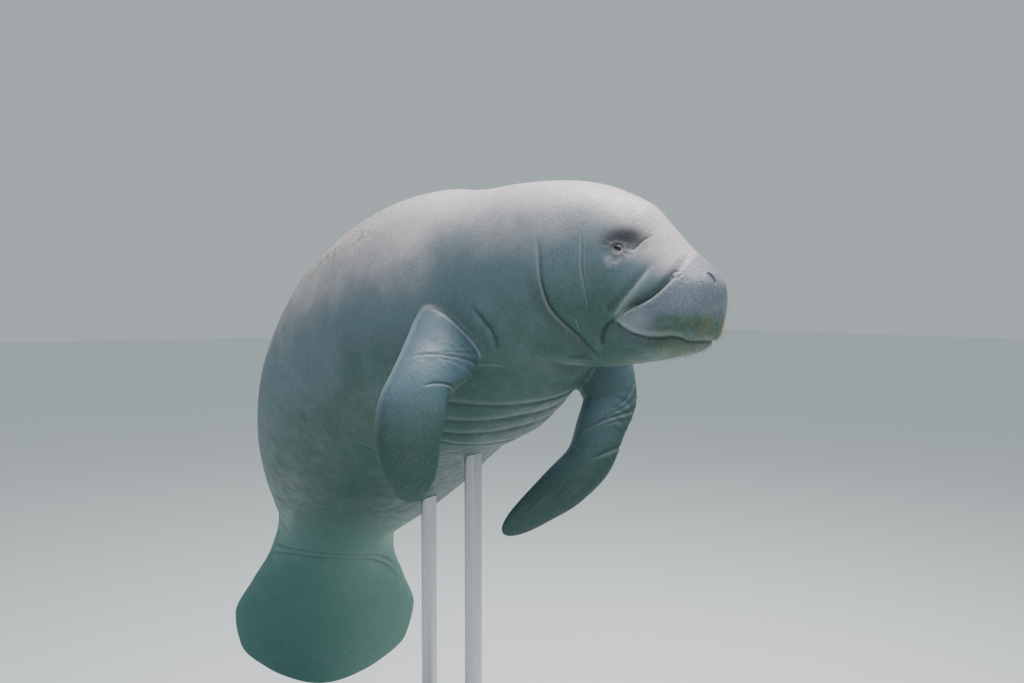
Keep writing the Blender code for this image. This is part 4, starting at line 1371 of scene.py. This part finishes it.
def head_tones(mesh, straight, body):
    """Muzzle pad, its low part and front rim, painted shade in the eye hollow and round the lids, and pink
    skin.
    """
    x, y, z = straight.T
    pad = np.zeros(len(x))
    front = x < 0.22
    above = z[front] - np.interp(x[front], *zip(*LIP_LINE))
    pad[front] = ease(from_path(x[front], z[front], MUZZLE_FOLD)[0] / 0.008) * ease(above / 0.006)
    give(mesh, "muzzle", pad * body)
    give(mesh, "muzzle_low", until(x, 0.145, 0.05) * until(z + 0.25 * x, 0.012, 0.035) * body)
    rim = until(x, 0.056, 0.008) * until(z, 0.020, 0.02) * bell(np.abs(y) - 0.052, 0.016)
    give(mesh, "muzzle_rim", rim * (0.15 + 0.85 * ease(y / 0.03)) * body)
    # painted shade in a ring round the lids
    lid_shade = 0.95 * bell(np.hypot(x - EYE[0], z - EYE[1]), 0.012)
    give(mesh, "eye_hollow_shade", np.maximum(0.92 * spot_mask(x, z, HOLLOW_SHADE_SPOT), lid_shade) * body)
    give(mesh, "eye_pink", spot_mask(x, z, PINK_SPOT) * body)


def limb_tones(mesh, up, y, limb):
    """Flippers, their painted light and shade, and the pale edges on them with a painted highlight on the
    near flipper's top rim.
    """
    share, turn, cover = limb.T
    give(mesh, "limb", cover)
    # painted light and shade: higher where the flipper faces up, lower towards its tip and on the far
    # flipper
    give(mesh, "limb_tone_and_light", np.clip(0.5 + 0.9 * up + 1.2 * (0.55 - share) - 0.25 * (y > 0), 0, 1))
    rear = 0.40 * past(-np.cos(turn), 0.80, 0.2) * until(share, 0.9, 0.4)
    # painted highlight along the top rim of the near flipper's root
    rim = 0.9 * shoulder_top(turn, y) * bell(cover - 0.78, 0.09)
    give(mesh, "limb_edge_and_rim_highlight", cover * np.clip(rear + rim, 0, 1))


def paint_skin(mesh, straight, limb):
    """Store every tone's place on the skin's vertices."""
    normals = np.zeros(straight.size, np.float32)
    mesh.vertices.foreach_get("normal", normals)
    up = normals.reshape(-1, 3)[:, 2]
    give(mesh, "straight", straight)
    body_tones(mesh, up, straight, limb)
    head_tones(mesh, straight, 1 - limb[:, 2])
    limb_tones(mesh, up, straight[:, 1], limb)


# Pieces

FLESH = ("head", "lower_jaw", "neck", "chest", "belly", "loin", "tail_stock", "tail_paddle",
         "flipper_right", "flipper_left")


def skin_piece():
    points, straight, limb, faces = build_skin()
    skin = mesh_object("skin", points, faces, skin_finish())
    paint_skin(skin.data, straight, limb)
    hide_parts(*FLESH)
    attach(skin, "root")


# Bristles and hairs

# bristles grow from the front of the muzzle backwards, below a level and clear of the lips
BRISTLES = 1900
BRISTLE_FRONT = 0.036
BRISTLE_REACH = 0.110
BRISTLE_TOP = 0.045
LIP_GAP = 0.004
BRISTLE_LENGTH = (0.004, 0.011)
BRISTLE_RADIUS = 0.00024
BODY_HAIRS = 2600
HAIR_FRONT = 0.14
HAIR_REACH = 2.4
HAIR_LENGTH = (0.006, 0.016)
HAIR_RADIUS = 0.00010
BRISTLE_SIDES = 3
BRISTLE_STEPS = 3
# size of the patch that each hair takes on the unrolled skin
PATCH = 0.003


def thread(root, direction, droop, length, radius):
    """Points of one thin tapering hair that bends towards its droop."""
    rings = []
    spin = np.arange(BRISTLE_SIDES) * 2 * math.pi / BRISTLE_SIDES
    side = np.cross(direction, (0.31, 0.52, 0.79))
    side /= np.linalg.norm(side)
    other = np.cross(direction, side)
    for t in np.arange(BRISTLE_STEPS) / BRISTLE_STEPS:
        middle = root + direction * (length * t) + droop * (length * t * t)
        ring = side[None] * np.cos(spin)[:, None] + other[None] * np.sin(spin)[:, None]
        rings.append(middle + ring * (radius * (1 - 0.8 * t)))
    tip = root + direction * length + droop * length
    return np.concatenate(rings + [tip[None]])


def thread_faces(start):
    """Faces of one hair whose points begin at a number."""
    faces = []
    for step in range(BRISTLE_STEPS - 1):
        for k in range(BRISTLE_SIDES):
            m = (k + 1) % BRISTLE_SIDES
            low = start + step * BRISTLE_SIDES
            faces.append((low + k, low + m, low + m + BRISTLE_SIDES, low + k + BRISTLE_SIDES))
    last = start + (BRISTLE_STEPS - 1) * BRISTLE_SIDES
    tip = last + BRISTLE_SIDES
    for k in range(BRISTLE_SIDES):
        faces.append((last + k, last + (k + 1) % BRISTLE_SIDES, tip))
    return faces


def hair_piece(name, x, turn, length, radius, lean, stand, seed):
    """Hairs rooted in the skin; stand is how far they stand out and lean how far they lie back."""
    random = np.random.default_rng(seed)
    root = skin_points(x, turn, hide_relief)
    out = plain_normal(x, turn)
    world = bend(root)
    outward = bend(root + out * 0.01) - world
    backward = bend(root + np.array([0.01, 0, 0])) - world
    points, faces, roots, shades = [], [], [], []
    size = BRISTLE_SIDES * BRISTLE_STEPS + 1
    for k in range(len(x)):
        direction = outward[k] * stand + backward[k] * lean + random.normal(size=3) * 0.002
        direction /= np.linalg.norm(direction)
        droop = np.array([0, 0, -0.25]) + random.normal(size=3) * 0.12
        start = world[k] - outward[k] * 0.1
        points.append(thread(start, direction, droop, length[k], radius))
        faces.extend(thread_faces(k * size))
        roots.append((turn[k] / (2 * math.pi) % 1, x[k] / BODY_LENGTH))
        shades.append(random.random())
    item = mesh_object(name, np.concatenate(points), faces, bristle_finish())
    give(item.data, "shade", np.repeat(shades, size))
    patch_map(item.data, np.array(roots), size)
    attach(item, "root")


def patch_map(mesh, roots, size):
    """Lay each hair on a small patch at its root's place on the unrolled skin."""
    count = len(mesh.loops)
    vertex = np.zeros(count, np.int32)
    mesh.loops.foreach_get("vertex_index", vertex)
    hair, point = vertex // size, vertex % size
    column = point % BRISTLE_SIDES / BRISTLE_SIDES
    row = point // BRISTLE_SIDES / BRISTLE_STEPS
    place = roots[hair] * (1 - 2 * PATCH) + np.stack([column, row], 1) * PATCH + PATCH / 2
    mesh.uv_layers.new(name="OFBake").data.foreach_set("uv", place.astype(np.float32).ravel())


def hairs():
    """Short stiff bristles on the muzzle and fine hairs over the body."""
    random = np.random.default_rng(7)
    x = BRISTLE_FRONT + BRISTLE_REACH * random.random(BRISTLES) ** 1.2
    turn = random.uniform(0, 2 * math.pi, BRISTLES)
    level = straight_point(x, turn)[:, 2]
    keep = (level < BRISTLE_TOP) & (np.abs(from_path(x, level, LIP_LINE)[0]) > LIP_GAP)
    x, turn = x[keep], turn[keep]
    length = random.uniform(*BRISTLE_LENGTH, len(x)) * (1.15 - 4 * (x - BRISTLE_FRONT))
    hair_piece("muzzle_bristles", x, turn, length, BRISTLE_RADIUS, 0.15, 1.0, 8)
    x = HAIR_FRONT + HAIR_REACH * random.random(BODY_HAIRS)
    turn = random.uniform(0, 2 * math.pi, BODY_HAIRS)
    length = random.uniform(*HAIR_LENGTH, BODY_HAIRS)
    hair_piece("body_hairs", x, turn, length, HAIR_RADIUS, 0.9, 0.55, 9)


def eye_piece(node):
    low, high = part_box(node)
    middle = (low + high) / 2
    bpy.ops.mesh.primitive_uv_sphere_add(segments=64, ring_count=32, radius=EYE_RADIUS, location=middle)
    eye = bpy.context.object
    eye.name = node + "_ball"
    eye.data.shade_smooth()
    eye.data.materials.append(eye_finish())
    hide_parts(node)
    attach(eye, "root")


def stand_pieces():
    for node, finish, name in (("stand_base", base_finish, "stand_base"),
                               ("stand_rod_front", rod_finish, "stand_rod"),
                               ("stand_rod_rear", rod_finish, "stand_rod")):
        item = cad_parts[node]
        item.data.materials.clear()
        item.data.materials.append(finish())


# Studio

CAMERA_PLACE = (2.2290, -0.9450, 1.5380)
CAMERA_HEADING = math.radians(60)
CAMERA_PITCH = math.radians(-2.336)
LENS = 30.16
SENSOR_WIDTH = 36
FLOOR_SIZE = 80
AIR_COLOUR = srgb(212, 226, 229)
AIR_STRENGTH = 0.64
# lamps: name, place, what it points at, width, power, colour
LAMPS = (
    ("overhead", (0.5, 0.75, 4.5), (0.3, 0.0, 1.5), 2.0, 235, (1.0, 0.97, 0.97)),
    ("front", (3.8, -1.6, 2.4), (0.3, 0.0, 1.3), 2.2, 22, (0.92, 0.98, 1.0)),
)


def studio():
    """Pale floor, even air and the lamps."""
    bpy.ops.mesh.primitive_plane_add(size=FLOOR_SIZE)
    floor = bpy.context.object
    floor.name = "floor"
    floor.data.materials.append(floor_finish())
    world = bpy.data.worlds.new("studio air")
    world.use_nodes = True
    bpy.context.scene.world = world
    air = world.node_tree.nodes["Background"]
    air.inputs["Color"].default_value = AIR_COLOUR
    air.inputs["Strength"].default_value = AIR_STRENGTH
    for row in LAMPS:
        lamp(*row)


def lamp(name, place, target, size, power, colour):
    light = bpy.data.lights.new(name, "AREA")
    light.shape = "DISK"
    light.size = size
    light.energy = power
    light.color = colour
    item = bpy.data.objects.new(name, light)
    item.location = place
    item.rotation_euler = (Vector(target) - Vector(place)).to_track_quat("-Z", "Y").to_euler()
    bpy.context.scene.collection.objects.link(item)


def camera():
    data = bpy.data.cameras.new("camera")
    data.lens = LENS
    data.sensor_width = SENSOR_WIDTH
    item = bpy.data.objects.new("camera", data)
    item.location = CAMERA_PLACE
    ahead = Vector((-math.sin(CAMERA_HEADING) * math.cos(CAMERA_PITCH),
                    math.cos(CAMERA_HEADING) * math.cos(CAMERA_PITCH), math.sin(CAMERA_PITCH)))
    item.rotation_euler = ahead.to_track_quat("-Z", "Y").to_euler()
    bpy.context.scene.collection.objects.link(item)
    bpy.context.scene.camera = item


skin_piece()
hairs()
eye_piece("eye_right")
eye_piece("eye_left")
stand_pieces()
studio()
camera()
